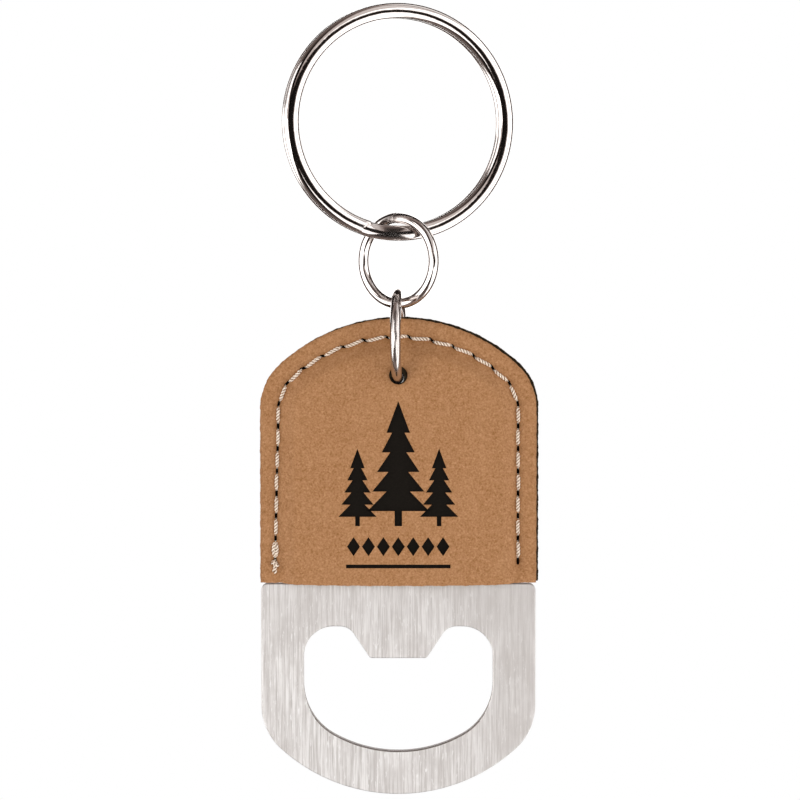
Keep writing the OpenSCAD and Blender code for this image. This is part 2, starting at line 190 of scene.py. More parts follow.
class EmblemSizes(bpy.types.PropertyGroup):
    """The engraved pines, lozenges and rule."""
    pine_h: length("Pine height", mm(17), "Height of the tallest pine")
    pine_w: length("Pine width", mm(8.4), "Width of the tallest pine")
    foot_drop: length("Ground drop", mm(28.2), "Ground line below the crown")
    tiers: count("Tiers", 5, "Tiers of branches on a pine")
    lozenge: length("Lozenge", mm(2.6), "Height of a lozenge")
    lozenges: count("Lozenges", 7, "Number of lozenges")
    lozenge_drop: length("Lozenge drop", mm(31), "Lozenges' centres below the crown")
    rule_drop: length("Rule drop", mm(33.7), "Rule below the crown")
    rule: length("Rule", mm(0.5), "Thickness of the rule")


class RingSizes(bpy.types.PropertyGroup):
    """The key ring, the link ring and the jump ring."""
    key_d: length("Key ring", KEY_RING_D, "Outer diameter of the key ring")
    key_w: length("Key wire width", mm(2.1), "Radial width of the key ring's wire")
    key_t: length("Key wire thickness", mm(1.15), "Thickness of one turn")
    key_gap: length("Turn gap", mm(0.06), "Gap between the two turns")
    key_turn: angle("Key turn", 15, "Turn of the key ring about the upright")
    front_end: angle("Front end", 252.4, "Angle of the front turn's cut end")
    ramp_from: angle("Ramp from", 254, "Angle at which the wire joins the rear turn")
    ramp_to: angle("Ramp to", 279, "Angle at which the wire leaves the front turn")
    rear_end: angle("Rear end", 281, "Angle of the rear turn's cut end")
    small_d: length("Small ring", SMALL_RING_D, "Outer diameter of the small rings")
    wire: length("Small wire", mm(1.45), "Wire diameter of the small rings")
    link_turn: angle("Link turn", -35, "Turn of the link ring about the upright")
    jump_turn: angle("Jump turn", 86, "Turn of the jump ring about the upright")
    link_slit: angle("Link slit", 93, "Where the link ring's ends meet")
    jump_slit: angle("Jump slit", 20, "Where the jump ring's ends meet")
    slit: length("Slit", mm(0.12), "Gap between a small ring's ends")


class Finishes(bpy.types.PropertyGroup):
    """Colours and gloss of the materials."""
    leather: tint("Leather", (0.405, 0.197, 0.082), "Tan of the leather")
    # The darker tan also serves as painted shade along the seam, at the edge, round the ring
    # hole and under the crown.
    leather_dark: tint("Leather shade", (0.26, 0.113, 0.033), "Darker tan in its grain")
    leather_light: tint("Leather light", (0.55, 0.305, 0.15), "Lighter tan in its grain")
    board: tint("Board", (0.006, 0.0045, 0.003), "Black of the board and the engraving")
    fibre: tint("Fibre", (0.13, 0.088, 0.042), "Frayed brown of the board's cut edge")
    thread: tint("Thread", (1.0, 0.89, 0.76), "Cream of the thread")
    thread_shade: tint("Thread shade", (0.34, 0.18, 0.075), "Shade between its strands")
    steel: tint("Steel", (0.94, 0.93, 0.925), "Brushed steel")
    # The darker steel also paints shade towards the plate's right side and its top.
    steel_shade: tint("Steel shade", (0.62, 0.595, 0.58), "Steel in its brush marks")
    # The stamped-out steel colour is also painted shade on the plate's wall and along the
    # mouth's lower edge.
    steel_cut_and_shade: tint("Steel cut", (0.20, 0.165, 0.15), "Steel where it was stamped out")
    nickel: tint("Nickel", (0.74, 0.70, 0.68), "Bright nickel")
    # The darker nickel also paints shade where the rings pass into the tag and at their cut
    # ends, and a dimmer reflection on the jump ring's front.
    nickel_shade: tint("Nickel shade", (0.42, 0.37, 0.35), "Nickel where it is handled")
    leather_gloss: share("Leather roughness", 0.62, "Roughness of the leather")
    steel_gloss: share("Steel roughness", 0.57, "Roughness of the brushed steel")
    nickel_gloss: share("Nickel roughness", 0.06, "Roughness of the nickel")


class StageSizes(bpy.types.PropertyGroup):
    """The camera, the floor and the soft light from all round."""
    distance: length("Distance", 0.45, "Camera distance")
    frame_h: length("Frame height", mm(108.96), "Height that the picture takes in")
    rise: angle("Rise", 2.5, "Camera elevation")
    aim_x: length("Aim X", mm(0.23), "Where the camera aims across")
    aim_z: length("Aim Z", mm(-51.73), "Where the camera aims in height")
    floor_drop: length("Floor drop", 0.06, "Floor below the opener's foot")
    floor: length("Floor radius", 0.33, "Radius of the floor")
    backdrop: tint("Backdrop", (1, 1, 1), "Colour behind the object")
    light: number("Light", 0.80, "Strength of the light from all round")
    base: number("Base", 0.008, "Brightness above and below, near the camera")
    brown: number("Brown", 0.42, "Brightness above and below, level with the object")
    left: number("Left", 3.7, "Brightness of the left soft box")
    right: number("Right", 2.5, "Brightness of the right soft box")
    haze: number("Haze", 0.9, "Brightness of the haze above each soft box")
    left_low: angle("Left low", -38, "Where the left soft box begins")
    left_high: angle("Left high", 10, "Where it ends and its haze begins")
    left_haze: angle("Left haze", 38, "Where that haze ends")
    right_low: angle("Right low", -72, "Where the right soft box begins")
    right_high: angle("Right high", 38, "Where it ends and its haze begins")
    right_haze: angle("Right haze", 76, "Where that haze ends")
    line_from: angle("Line from", 58, "Where the thin dark line round the camera begins")
    line_to: angle("Line to", 64, "Where it ends")
    rear: number("Rear", 3.4, "Brightness behind")
    gap_across: angle("Gap across", 15, "How far right of the camera the dark gap lies")
    gap_width: angle("Gap width", 24, "Half the width of the dark gap")
    gap_height: angle("Gap height", 12, "Half the height of the dark gap")
    dim_from: angle("Dim from", 88, "Where the light dims towards the rear")
    dim_to: angle("Dim to", 148, "Where it brightens again behind")
    soft: angle("Softness", 5, "Softness of the light's edges")
    key: number("Key", 0.5, "Power of the key light")


GROUPS = {
    "cover": CoverSizes, "seam": SeamSizes, "plate": PlateSizes, "emblem": EmblemSizes,
    "rings": RingSizes, "finish": Finishes, "stage": StageSizes,
}


def sizes(context, group):
    """One of the scene's property groups."""
    return getattr(context.scene, "opener_" + group)


# ---------------------------------------------------------------- shader maths

def plug(tree, slot, item):
    """Links a value to a socket, or sets the socket to a plain number or colour."""
    if isinstance(item, Value):
        tree.links.new(item.socket, slot)
    elif slot.type == "RGBA" and len(item) == 3:
        slot.default_value = (*item, 1)
    else:
        slot.default_value = item


def add_node(tree, kind, settings=None, inputs=None, out=0):
    """Adds any node: its settings first, then its sockets, by name or number."""
    node = tree.nodes.new("ShaderNode" + kind)
    for key, item in (settings or {}).items():
        setattr(node, key, item)
    for key, item in (inputs or {}).items():
        plug(tree, node.inputs[key], item)
    return Value(tree, node.outputs[out])


class Value:
    """A shader socket that does arithmetic: an expression adds its Math nodes."""

    def __init__(self, tree, socket):
        self.tree, self.socket = tree, socket

    def maths(self, operation, *items):
        """A Math node on these items, which may be values or numbers."""
        return add_node(self.tree, "Math", {"operation": operation},
                        dict(enumerate(items)))

    def __add__(self, other):
        return self.maths("ADD", self, other)

    def __sub__(self, other):
        return self.maths("SUBTRACT", self, other)

    def __rsub__(self, other):
        return self.maths("SUBTRACT", other, self)

    def __mul__(self, other):
        return self.maths("MULTIPLY", self, other)

    def __truediv__(self, other):
        return self.maths("DIVIDE", self, other)

    __radd__, __rmul__ = __add__, __mul__

    def between(self, low, high):
        """0 below low, 1 above high, and smooth between."""
        return add_node(self.tree, "MapRange", {"interpolation_type": "SMOOTHSTEP"},
                        {"Value": self, "From Min": low, "From Max": high})


class Nodes:
    """A node tree, cleared, with short forms of what it needs most."""

    # A Mix node's sockets for colours, which share their names with its other sockets.
    FACTOR, COLOUR_A, COLOUR_B, COLOUR_OUT = 0, 6, 7, 2

    def __init__(self, tree):
        self.tree = tree
        tree.nodes.clear()

    def node(self, kind, settings=None, inputs=None, out=0):
        """Any node of this tree."""
        return add_node(self.tree, kind, settings, inputs, out)

    def mix(self, amount, low, high):
        """A colour from low to high."""
        return self.node("Mix", {"data_type": "RGBA"}, {
            self.FACTOR: amount, self.COLOUR_A: low, self.COLOUR_B: high},
            out=self.COLOUR_OUT)

    def painted(self, colour, *layers):
        """A colour with layers over it, each an amount and a colour of its own."""
        for amount, over in layers:
            colour = self.mix(amount, colour, over)
        return colour

    def axes(self, place):
        """The three parts of a position or a direction."""
        split = self.node("SeparateXYZ", {}, {0: place}).socket.node
        return [Value(self.tree, slot) for slot in split.outputs]

    def output(self, kind, shader):
        """Ends the tree in its output node."""
        end = self.tree.nodes.new("ShaderNodeOutput" + kind)
        plug(self.tree, end.inputs["Surface"], shader)


class Finish(Nodes):
    """A node material whose patterns lie in the object's own space."""

    def __init__(self, name):
        self.material = bpy.data.materials.new(name)
        self.material.use_nodes = True
        super().__init__(self.material.node_tree)
        self.place = self.node("TexCoord", out="Object")

    def noise(self, size, detail=2.0, rough=0.5, warp=0.0, stretch=None):
        """Noise whose features are about as large as size, in metres.

        stretch holds a scale for each axis: below 1 the features are longer that way."""
        place = self.place
        if stretch:
            place = self.node("Mapping", {}, {"Vector": place, "Scale": stretch})
        return self.node("TexNoise", {}, {
            "Vector": place, "Scale": 1 / size, "Detail": detail,
            "Roughness": rough, "Distortion": warp})

    def cells(self, size):
        """Distance to the nearest of points strewn about as far apart as size."""
        return self.node("TexVoronoi", {}, {"Vector": self.place, "Scale": 1 / size})

    def attribute(self, name):
        """A number stored at the mesh's points."""
        return self.node("Attribute", {"attribute_name": name}, out="Fac")

    def bump(self, height, depth, strength):
        """A normal bent by a height."""
        return self.node("Bump", {}, {
            "Height": height, "Distance": depth, "Strength": strength})

    def surface(self, **inputs):
        """Ends the material in a Principled shader, its sockets named in lower case."""
        names = {key.replace("_", " ").title().replace("Ior", "IOR"): item
                 for key, item in inputs.items()}
        self.output("Material", self.node("BsdfPrincipled", {}, names))
        return self.material


def leather_finish(look):
    """Tan leatherette: fine speckled grain, cloudy tan, darker where the stitching presses it,
    with painted shade along the seam, at the edge, round the ring hole and under the crown.
    """
    m = Finish("tan_leather")
    cloud = m.noise(mm(3.6), detail=3)
    mottle = m.noise(mm(0.9), detail=2)
    grain = m.noise(mm(0.29), detail=2, rough=0.6)
    speck = m.noise(mm(0.17), detail=2, rough=0.6)
    pores = m.cells(mm(0.36))
    # The mesh's darkening: where the stitching presses the leather, and painted shade along the
    # seam, at the edge, round the ring hole and under the crown.
    pressed = m.attribute("pressed")
    tone = grain * 0.55 + speck * 0.3 + mottle * 0.15
    colour = m.painted(look.leather_dark,
                       (tone.between(0.32, 0.54), look.leather),
                       (tone.between(0.5, 0.7) * 0.8, look.leather_light),
                       (cloud.between(0.4, 0.7) * 0.1, look.leather_light),
                       (pressed * 0.6, look.leather_dark))
    height = grain * 0.6 + pores * 0.25 + mottle * 0.3
    return m.surface(base_color=colour,
                     roughness=look.leather_gloss + grain * 0.2 - pressed * 0.12,
                     normal=m.bump(height, mm(0.06), 0.8),
                     sheen_weight=0.08, sheen_roughness=0.5, specular_ior_level=0.3)


def skin_edge_finish(look):
    """The skin's own cut edge: dull tan, darkened by the knife."""
    m = Finish("tan_cut_edge")
    grain = m.noise(mm(0.14), detail=3)
    colour = m.mix(grain.between(0.35, 0.65), look.leather_dark, look.leather)
    return m.surface(base_color=colour, roughness=0.9, specular_ior_level=0.2,
                     normal=m.bump(grain, mm(0.05), 0.8))


def board_finish(look):
    """The black board: frayed olive-brown fibres along its cut edge."""
    m = Finish("black_board")
    fibres = m.noise(mm(0.11), detail=4, rough=0.7, stretch=(1, 0.35, 1))
    lumps = m.noise(mm(0.6), detail=2)
    loose = 0.35 + fibres.between(0.35, 0.65) * 0.5 + lumps.between(0.4, 0.7) * 0.3
    colour = m.mix(loose * m.attribute("frayed"), look.board, look.fibre)
    return m.surface(base_color=colour, roughness=0.92, specular_ior_level=0.15,
                     normal=m.bump(fibres + lumps * 0.6, mm(0.07), 0.9))


def char_and_hole_shade_finish(look):
    """Engraving burnt into the board: sooty black with raster lines. On the skin it also lines
    the needle holes and the ring hole, as painted shade.
    """
    m = Finish("engraved_black")
    lines = m.noise(mm(0.16), detail=1, stretch=(0.12, 1, 1))
    soot = m.noise(mm(0.12), detail=3, rough=0.7)
    ash = (0.016, 0.012, 0.008)
    colour = m.mix(soot.between(0.4, 0.75) * 0.5, look.board, ash)
    return m.surface(base_color=colour, roughness=0.85, specular_ior_level=0.12,
                     normal=m.bump(lines * 0.7 + soot * 0.5, mm(0.05), 0.7))


def thread_finish(look):
    """Cream polyester thread: bright strands with deep shade between them."""
    m = Finish("cream_thread")
    fibres = m.noise(mm(0.05), detail=3, rough=0.6)
    patches = m.noise(mm(0.8), detail=1)
    colour = m.painted(look.thread,
                       (fibres.between(0.4, 0.75) * 0.3, look.thread_shade),
                       # Painted shade between the strands, stored at each point of the thread.
                       (m.attribute("valley"), look.thread_shade),
                       (patches.between(0.5, 0.75) * 0.12, look.thread_shade))
    return m.surface(base_color=colour, roughness=0.45 + fibres * 0.2,
                     sheen_weight=0.2, sheen_roughness=0.4, specular_ior_level=0.6,
                     normal=m.bump(fibres, mm(0.03), 0.6))


def steel_finish(look):
    """Steel brushed lengthwise: streaks of several widths, flecks and faint scuffs, with
    painted shade darker towards the right and the top.
    """
    m = Finish("brushed_steel")
    hair = m.noise(mm(0.15), detail=3, rough=0.7, stretch=(1, 0.3, 0.022))
    streak = m.noise(mm(0.34), detail=3, rough=0.65, stretch=(1, 0.3, 0.05))
    cloud = m.noise(mm(4.6), detail=4, rough=0.6, stretch=(1, 1, 0.7))
    fleck = m.noise(mm(0.24), detail=3, rough=0.7, stretch=(1, 1, 0.14))
    scuff = m.noise(mm(1.1), detail=5, rough=0.8, warp=1.5)
    marks = hair * 0.6 + streak * 0.4
    x, _, z = m.axes(m.place)
    # Painted shade: the steel darkens towards the plate's right side and towards the covers
    # above.
    rightward, upward = x.between(mm(3), mm(17)), z.between(mm(-88), mm(-78))
    colour = m.painted(look.steel_shade,
                       (marks.between(0.36, 0.62), look.steel),
                       (cloud.between(0.42, 0.7) * 0.55, look.steel_shade),
                       (fleck.between(0.58, 0.7) * 0.8, (1, 1, 1)),
                       (scuff.between(0.66, 0.76) * 0.4, look.steel_cut_and_shade),
                       (rightward * 0.42 + upward * 0.3, look.steel_shade))
    rough = (look.steel_gloss - 0.07) + marks * 0.16 + cloud.between(0.4, 0.7) * 0.06
    normal = m.bump(hair * 0.6 + streak * 0.6, mm(0.02), 0.5)
    return m.surface(base_color=colour, metallic=1.0, roughness=rough, normal=normal)


def stamped_and_shaded_finish(look):
    """The plate's stamped wall: duller than its faces where it was stamped out, and darkened as
    painted shade.
    """
    m = Finish("stamped_steel")
    tear = m.noise(mm(0.12), detail=3, rough=0.7, stretch=(1, 0.15, 1))
    colour = m.mix(tear.between(0.35, 0.7) * 0.6, look.steel_cut_and_shade, look.steel_shade)
    return m.surface(base_color=colour, metallic=1.0, roughness=0.5 + tear * 0.2,
                     normal=m.bump(tear, mm(0.03), 0.7))


def nickel_finish(look):
    """Bright nickel plate: faint waviness and hairlines, duller and darker where it wears, and
    where shade and a dimmer reflection are painted on.
    """
    m = Finish("bright_nickel")
    wave = m.noise(mm(1.6), detail=2)
    dimple = m.noise(mm(0.5), detail=2)
    hairline = m.noise(mm(0.09), detail=3, rough=0.7, warp=0.8)
    # Wear, with painted shade and a dimmer painted reflection on the rings.
    rubbed = m.attribute("rubbed")
    amount = hairline.between(0.55, 0.75) * 0.2 + rubbed * 0.65
    colour = m.mix(amount, look.nickel, look.nickel_shade)
    rough = look.nickel_gloss + hairline.between(0.5, 0.8) * 0.08 + rubbed * 0.22
    normal = m.bump(wave * 0.9 + dimple * 0.15 + hairline * 0.01, mm(0.04), 0.5)
    return m.surface(base_color=colour, metallic=1.0, roughness=rough, normal=normal)


def finish_material(context, name):
    """A material by name, made the first time that it is asked for."""
    makers = {
        "tan_leather": leather_finish, "tan_cut_edge": skin_edge_finish,
        "black_board": board_finish, "engraved_black": char_and_hole_shade_finish,
        "cream_thread": thread_finish, "brushed_steel": steel_finish,
        "stamped_steel": stamped_and_shaded_finish, "bright_nickel": nickel_finish,
    }
    return bpy.data.materials.get(name) or makers[name](sizes(context, "finish"))


# ---------------------------------------------------------------- mesh helpers

def smooth(x, low, high):
    """0 below low, 1 above high, and smooth between."""
    t = np.clip((x - low) / (high - low), 0, 1)
    return t * t * (3 - 2 * t)


def ripple(x, seed, waves=((1.0, 1.0), (2.3, 0.6), (5.1, 0.35), (11.7, 0.2))):
    """A smooth, repeatable unevenness of about one unit along a length."""
    total = 0
    for k, (rate, size) in enumerate(waves):
        total = total + size * np.sin(rate * x + seed * (1.7 + 2.9 * k) + k * k)
    return total


def bell(distance, reach):
    """1 at no distance, falling softly to 0 within about twice the reach."""
    return np.exp(-(distance / reach) ** 2)


def unit(v):
    """Directions of length one."""
    return v / np.maximum(np.linalg.norm(v, axis=-1, keepdims=True), 1e-12)


def angle_off(angles, middle):
    """How far angles lie from a middle one, the short way round."""
    return np.angle(np.exp(1j * (angles - middle)))


def outward(loop):
    """Direction out of a loop that runs counter-clockwise, at each of its points."""
    tangent = unit(np.roll(loop, -1, 0) - np.roll(loop, 1, 0))
    return np.column_stack([tangent[:, 1], -tangent[:, 0]])


def circle(sides):
    """Points evenly round a circle of radius one."""
    a = np.arange(sides) * math.tau / sides
    return np.column_stack([np.cos(a), np.sin(a)])


class Shell:
    """Gathers the points and faces of one piece."""

    def __init__(self):
        self.points, self.faces, self.slots, self.total = [], [], [], 0
        self.values = {}

    def add(self, points, faces, slot=0, **values):
        """Adds points, the faces between them and a value at each point.

        Returns the number of the first point added."""
        points = np.asarray(points, float)
        self.faces.extend(tuple(i + self.total for i in face) for face in faces)
        self.slots.extend([slot] * len(faces))
        self.points.append(points)
        for name, item in values.items():
            whole = self.values.setdefault(name, np.zeros(self.total))
            whole = np.concatenate([whole, np.zeros(self.total - len(whole))])
            self.values[name] = np.concatenate(
                [whole, np.broadcast_to(item, (len(points),))])
        first = self.total
        self.total += len(points)
        return first

    def wall(self, upper, lower, flip=False, slots=0):
        """Faces between two closed rows of points that are there already."""
        n = len(upper)
        for j in range(n):
            k = (j + 1) % n
            face = (upper[j], lower[j], lower[k], upper[k])
            self.faces.append(face[::-1] if flip else face)
        self.slots.extend(np.broadcast_to(slots, n).tolist())

    def make(self, context, name, materials, sharp=None, normals=None):
        """The finished object. sharp is the angle in degrees above which an edge shows."""
        mesh = bpy.data.meshes.new(name)
        mesh.from_pydata(np.concatenate(self.points).tolist(), [], self.faces)
        for material in materials:
            mesh.materials.append(finish_material(context, material))
        mesh.polygons.foreach_set("material_index", self.slots)
        mesh.polygons.foreach_set("use_smooth", [True] * len(self.faces))
        for key, item in self.values.items():
            whole = np.concatenate([item, np.zeros(self.total - len(item))])
            layer = mesh.attributes.new(key, "FLOAT", "POINT")
            layer.data.foreach_set("value", whole.astype(np.float32))
        mesh.validate()
        mesh.update()
        if normals is not None:
            mesh.normals_split_custom_set_from_vertices(normals.tolist())
        elif sharp:
            mesh.set_sharp_from_angle(angle=math.radians(sharp))
        piece = bpy.data.objects.new(name, mesh)
        context.scene.collection.objects.link(piece)
        return piece


def sweep(path, section, up, caps=True):
    """Points and faces of a section swept along a path.

    section holds (across, up) offsets: one list for the whole path, or one for each of
    its points."""
    path, up = np.asarray(path, float), np.asarray(up, float)
    along = unit(np.gradient(path, axis=0))
    up = np.broadcast_to(up, path.shape)
    across = unit(np.cross(along, up))
    up = unit(np.cross(across, along))
    section = np.asarray(section, float)
    if section.ndim == 2:
        section = np.broadcast_to(section, (len(path), *section.shape))
    points = (path[:, None] + section[..., :1] * across[:, None]
              + section[..., 1:] * up[:, None]).reshape(-1, 3)
    n, rows = section.shape[1], len(path)
    faces = [(i * n + j, i * n + (j + 1) % n, (i + 1) * n + (j + 1) % n, (i + 1) * n + j)
             for i in range(rows - 1) for j in range(n)]
    if caps:
        faces.append(tuple(range(n - 1, -1, -1)))
        faces.append(tuple((rows - 1) * n + j for j in range(n)))
    return points, faces


def inside(points, loop):
    """Which points lie inside a closed loop."""
    result = np.zeros(len(points), bool)
    lo, hi = loop.min(0), loop.max(0)
    near = np.flatnonzero(((points >= lo) & (points <= hi)).all(1))
    x, z = points[near].T
    hit = np.zeros(len(near), bool)
    for (ax, az), (bx, bz) in zip(loop, np.roll(loop, -1, 0)):
        if az != bz:
            cross = (az > z) != (bz > z)
            hit ^= cross & (x < (bx - ax) * (z - az) / (bz - az) + ax)
    result[near] = hit
    return result


def triangulate(loops, scatter):
    """Points and triangles inside the first loop and outside the others.

    Returns the points, the triangles and each loop's point numbers."""
    scale, tolerance = 1e3, 1e-7
    points = np.concatenate([*loops, scatter]) if len(scatter) else np.concatenate(loops)
    edges, start, rows = [], 0, []
    for loop in loops:
        row = list(range(start, start + len(loop)))
        edges.extend(zip(row, row[1:] + row[:1]))
        rows.append(row)
        start += len(loop)
    flat = [Vector(p) for p in points * scale]
    made, _, tris, origin, _, _ = delaunay_2d_cdt(flat, edges, [], 0, tolerance)
    back = {}
    for new, olds in enumerate(origin):
        for old in olds:
            back[old] = new
    made = np.array([tuple(p) for p in made]) / scale
    tris = np.array([tuple(t) for t in tris])
    middles = made[tris].mean(1)
    keep = inside(middles, loops[0])
    for loop in loops[1:]:
        keep &= ~inside(middles, loop)
    tris = tris[keep]
    a, b, c = made[tris[:, 0]], made[tris[:, 1]], made[tris[:, 2]]
    turn = (b - a)[:, 0] * (c - a)[:, 1] - (b - a)[:, 1] * (c - a)[:, 0]
    tris[turn < 0] = tris[turn < 0][:, ::-1]
    rows = [[back[i] for i in row] for row in rows]
    return made, tris, rows


def hexes(lo, hi, gap):
    """A grid of staggered points."""
    rows = []
    for k, z in enumerate(np.arange(lo[1], hi[1], gap * math.sqrt(3) / 2)):
        x = np.arange(lo[0] + (k % 2) * gap / 2, hi[0], gap)
        rows.append(np.column_stack([x, np.full(len(x), z)]))
    return np.concatenate(rows)


def clear_of(points, loops, gap):
    """Leaves out the points that lie in a loop or nearer than gap to it."""
    keep = np.ones(len(points), bool)
    for loop in loops:
        lo, hi = loop.min(0) - gap, loop.max(0) + gap
        near = np.flatnonzero(keep & ((points >= lo) & (points <= hi)).all(1))
        if not len(near):
            continue
        far = np.linalg.norm(points[near][:, None] - loop[None], axis=2).min(1) > gap
        keep[near] = far & ~inside(points[near], loop)
    return points[keep]


def arc(centre, r, start, stop, steps):
    """Points of an arc, its angles in radians counted from the right."""
    a = np.linspace(start, stop, steps + 1)
    return np.column_stack([centre[0] + r * np.cos(a), centre[1] + r * np.sin(a)])


def without_repeats(loop, least=mm(0.004)):
    """Leaves out points that repeat the one before."""
    kept = [loop[0]]
    for p in loop[1:]:
        if np.linalg.norm(p - kept[-1]) > least:
            kept.append(p)
    if np.linalg.norm(kept[0] - kept[-1]) <= least:
        kept.pop()
    return np.array(kept)


def spaced(loop, gap):
    """A closed loop with points added so that none are further apart than gap."""
    made = []
    for a, b in zip(loop, np.roll(loop, -1, 0)):
        n = max(1, math.ceil(np.linalg.norm(b - a) / gap))
        made.extend(a + (b - a) * i / n for i in range(n))
    return np.array(made)


class Arch:
    """An arch with a crown and two corner arcs, its apex at a height and its foot below."""

    def __init__(self, half, corner, crown, height, top):
        self.half, self.corner, self.crown = half, corner, crown
        self.height, self.top = height, top
        self.cx = half - corner
        self.drop = crown - math.sqrt((crown - corner) ** 2 - self.cx ** 2)
        self.join = math.atan2(self.cx, crown - self.drop)

    def side(self, inset=0.0, steps=12):
        """The edge from the right foot over the crown to the left foot."""
        q = math.pi / 2
        join = self.join
        c = (self.cx, self.top - self.drop)
        return np.concatenate([
            [[self.half - inset, self.top - self.height]],
            arc(c, self.corner - inset, 0, q - join, steps),
            arc((0, self.top - self.crown), self.crown - inset,
                q - join, q + join, 2 * steps)[1:-1],
            arc((-c[0], c[1]), self.corner - inset, q + join, 2 * q, steps),
            [[-self.half + inset, self.top - self.height]]])

    def inset_of(self, x, z):
        """How far points lie inside the edge, the foot left out."""
        x, depth = np.abs(x), self.top - z
        side = self.half - x
        crown = self.crown - np.hypot(x, self.crown - depth)
        corner = self.corner - np.hypot(x - self.cx, self.drop - depth)
        turn = np.arctan2(x, self.crown - depth)
        return np.where(depth > self.drop, side, np.where(turn < self.join, crown, corner))


# ---------------------------------------------------------------- seam and covers

class Seam:
    """Where the needle went through: a line inside the covers' edge."""

    def __init__(self, arch, s):
        self.arch, self.inset, self.drift = arch, s.inset, s.drift
        self.leg = arch.height - arch.drop - s.end_height
        self.bend = (arch.corner - s.inset) * (math.pi / 2 - arch.join)
        self.top = (arch.crown - s.inset) * 2 * arch.join
        self.length = 2 * (self.leg + self.bend) + self.top
        self.stitches = round(self.length / s.stitch)
        steps = np.arange(self.stitches + 1) * self.length / self.stitches
        self.holes = np.array([self.point(step) for step in steps])

    def point(self, s):
        """The point at a length s along the seam, from its end at the lower left."""
        arch = self.arch
        half = arch.half - self.inset
        if s < self.leg:
            x = -half - self.drift * (1 - s / self.leg)
            return np.array([x, arch.top - arch.drop - self.leg + s])
        if s < self.leg + self.bend:
            a = math.pi - (s - self.leg) / self.bend * (math.pi / 2 - arch.join)
            r = arch.corner - self.inset
            return np.array([-arch.cx + r * math.cos(a),
                             arch.top - arch.drop + r * math.sin(a)])
        if s <= self.length / 2:
            half_top = self.top / 2
            a = math.pi / 2 + arch.join * (1 - (s - self.leg - self.bend) / half_top)
            r = arch.crown - self.inset
            return np.array([r * math.cos(a), arch.top - arch.crown + r * math.sin(a)])
        twin = self.point(self.length - s)
        on_leg = self.length - s < self.leg
        return np.array([half if on_leg else -twin[0], twin[1]])

    def directions(self):
        """Direction of the seam at each hole."""
        steps = unit(np.diff(self.holes, axis=0))
        mean = np.concatenate([steps[:1], steps[:-1] + steps[1:], steps[-1:]])
        return unit(mean)


# Dents in the skin's face, each with its depth and its reach.
CREASE = mm(0.17), mm(0.4)      # along the sewn line
PULL = mm(0.09), mm(1.1)        # on both sides of it, where the thread draws it down
DIMPLE = mm(0.2), mm(0.55)      # at each needle hole
TACK = mm(0.17), mm(0.75)       # where the seam is tacked
LIP = mm(0.16), mm(0.28)        # round the ring hole
# How far the face drops at its cut edge and at its foot, and how far it sways.
EDGE_DROP, FOOT_DROP, SWAY = mm(0.20), mm(0.13), mm(0.03)
# Spacing of the points along the covers' cut edge.
CUT_STEP = mm(0.22)


def dent(size, distance):
    """Depth of a dent at a distance from its middle."""
    depth, reach = size
    return depth * bell(distance, reach)


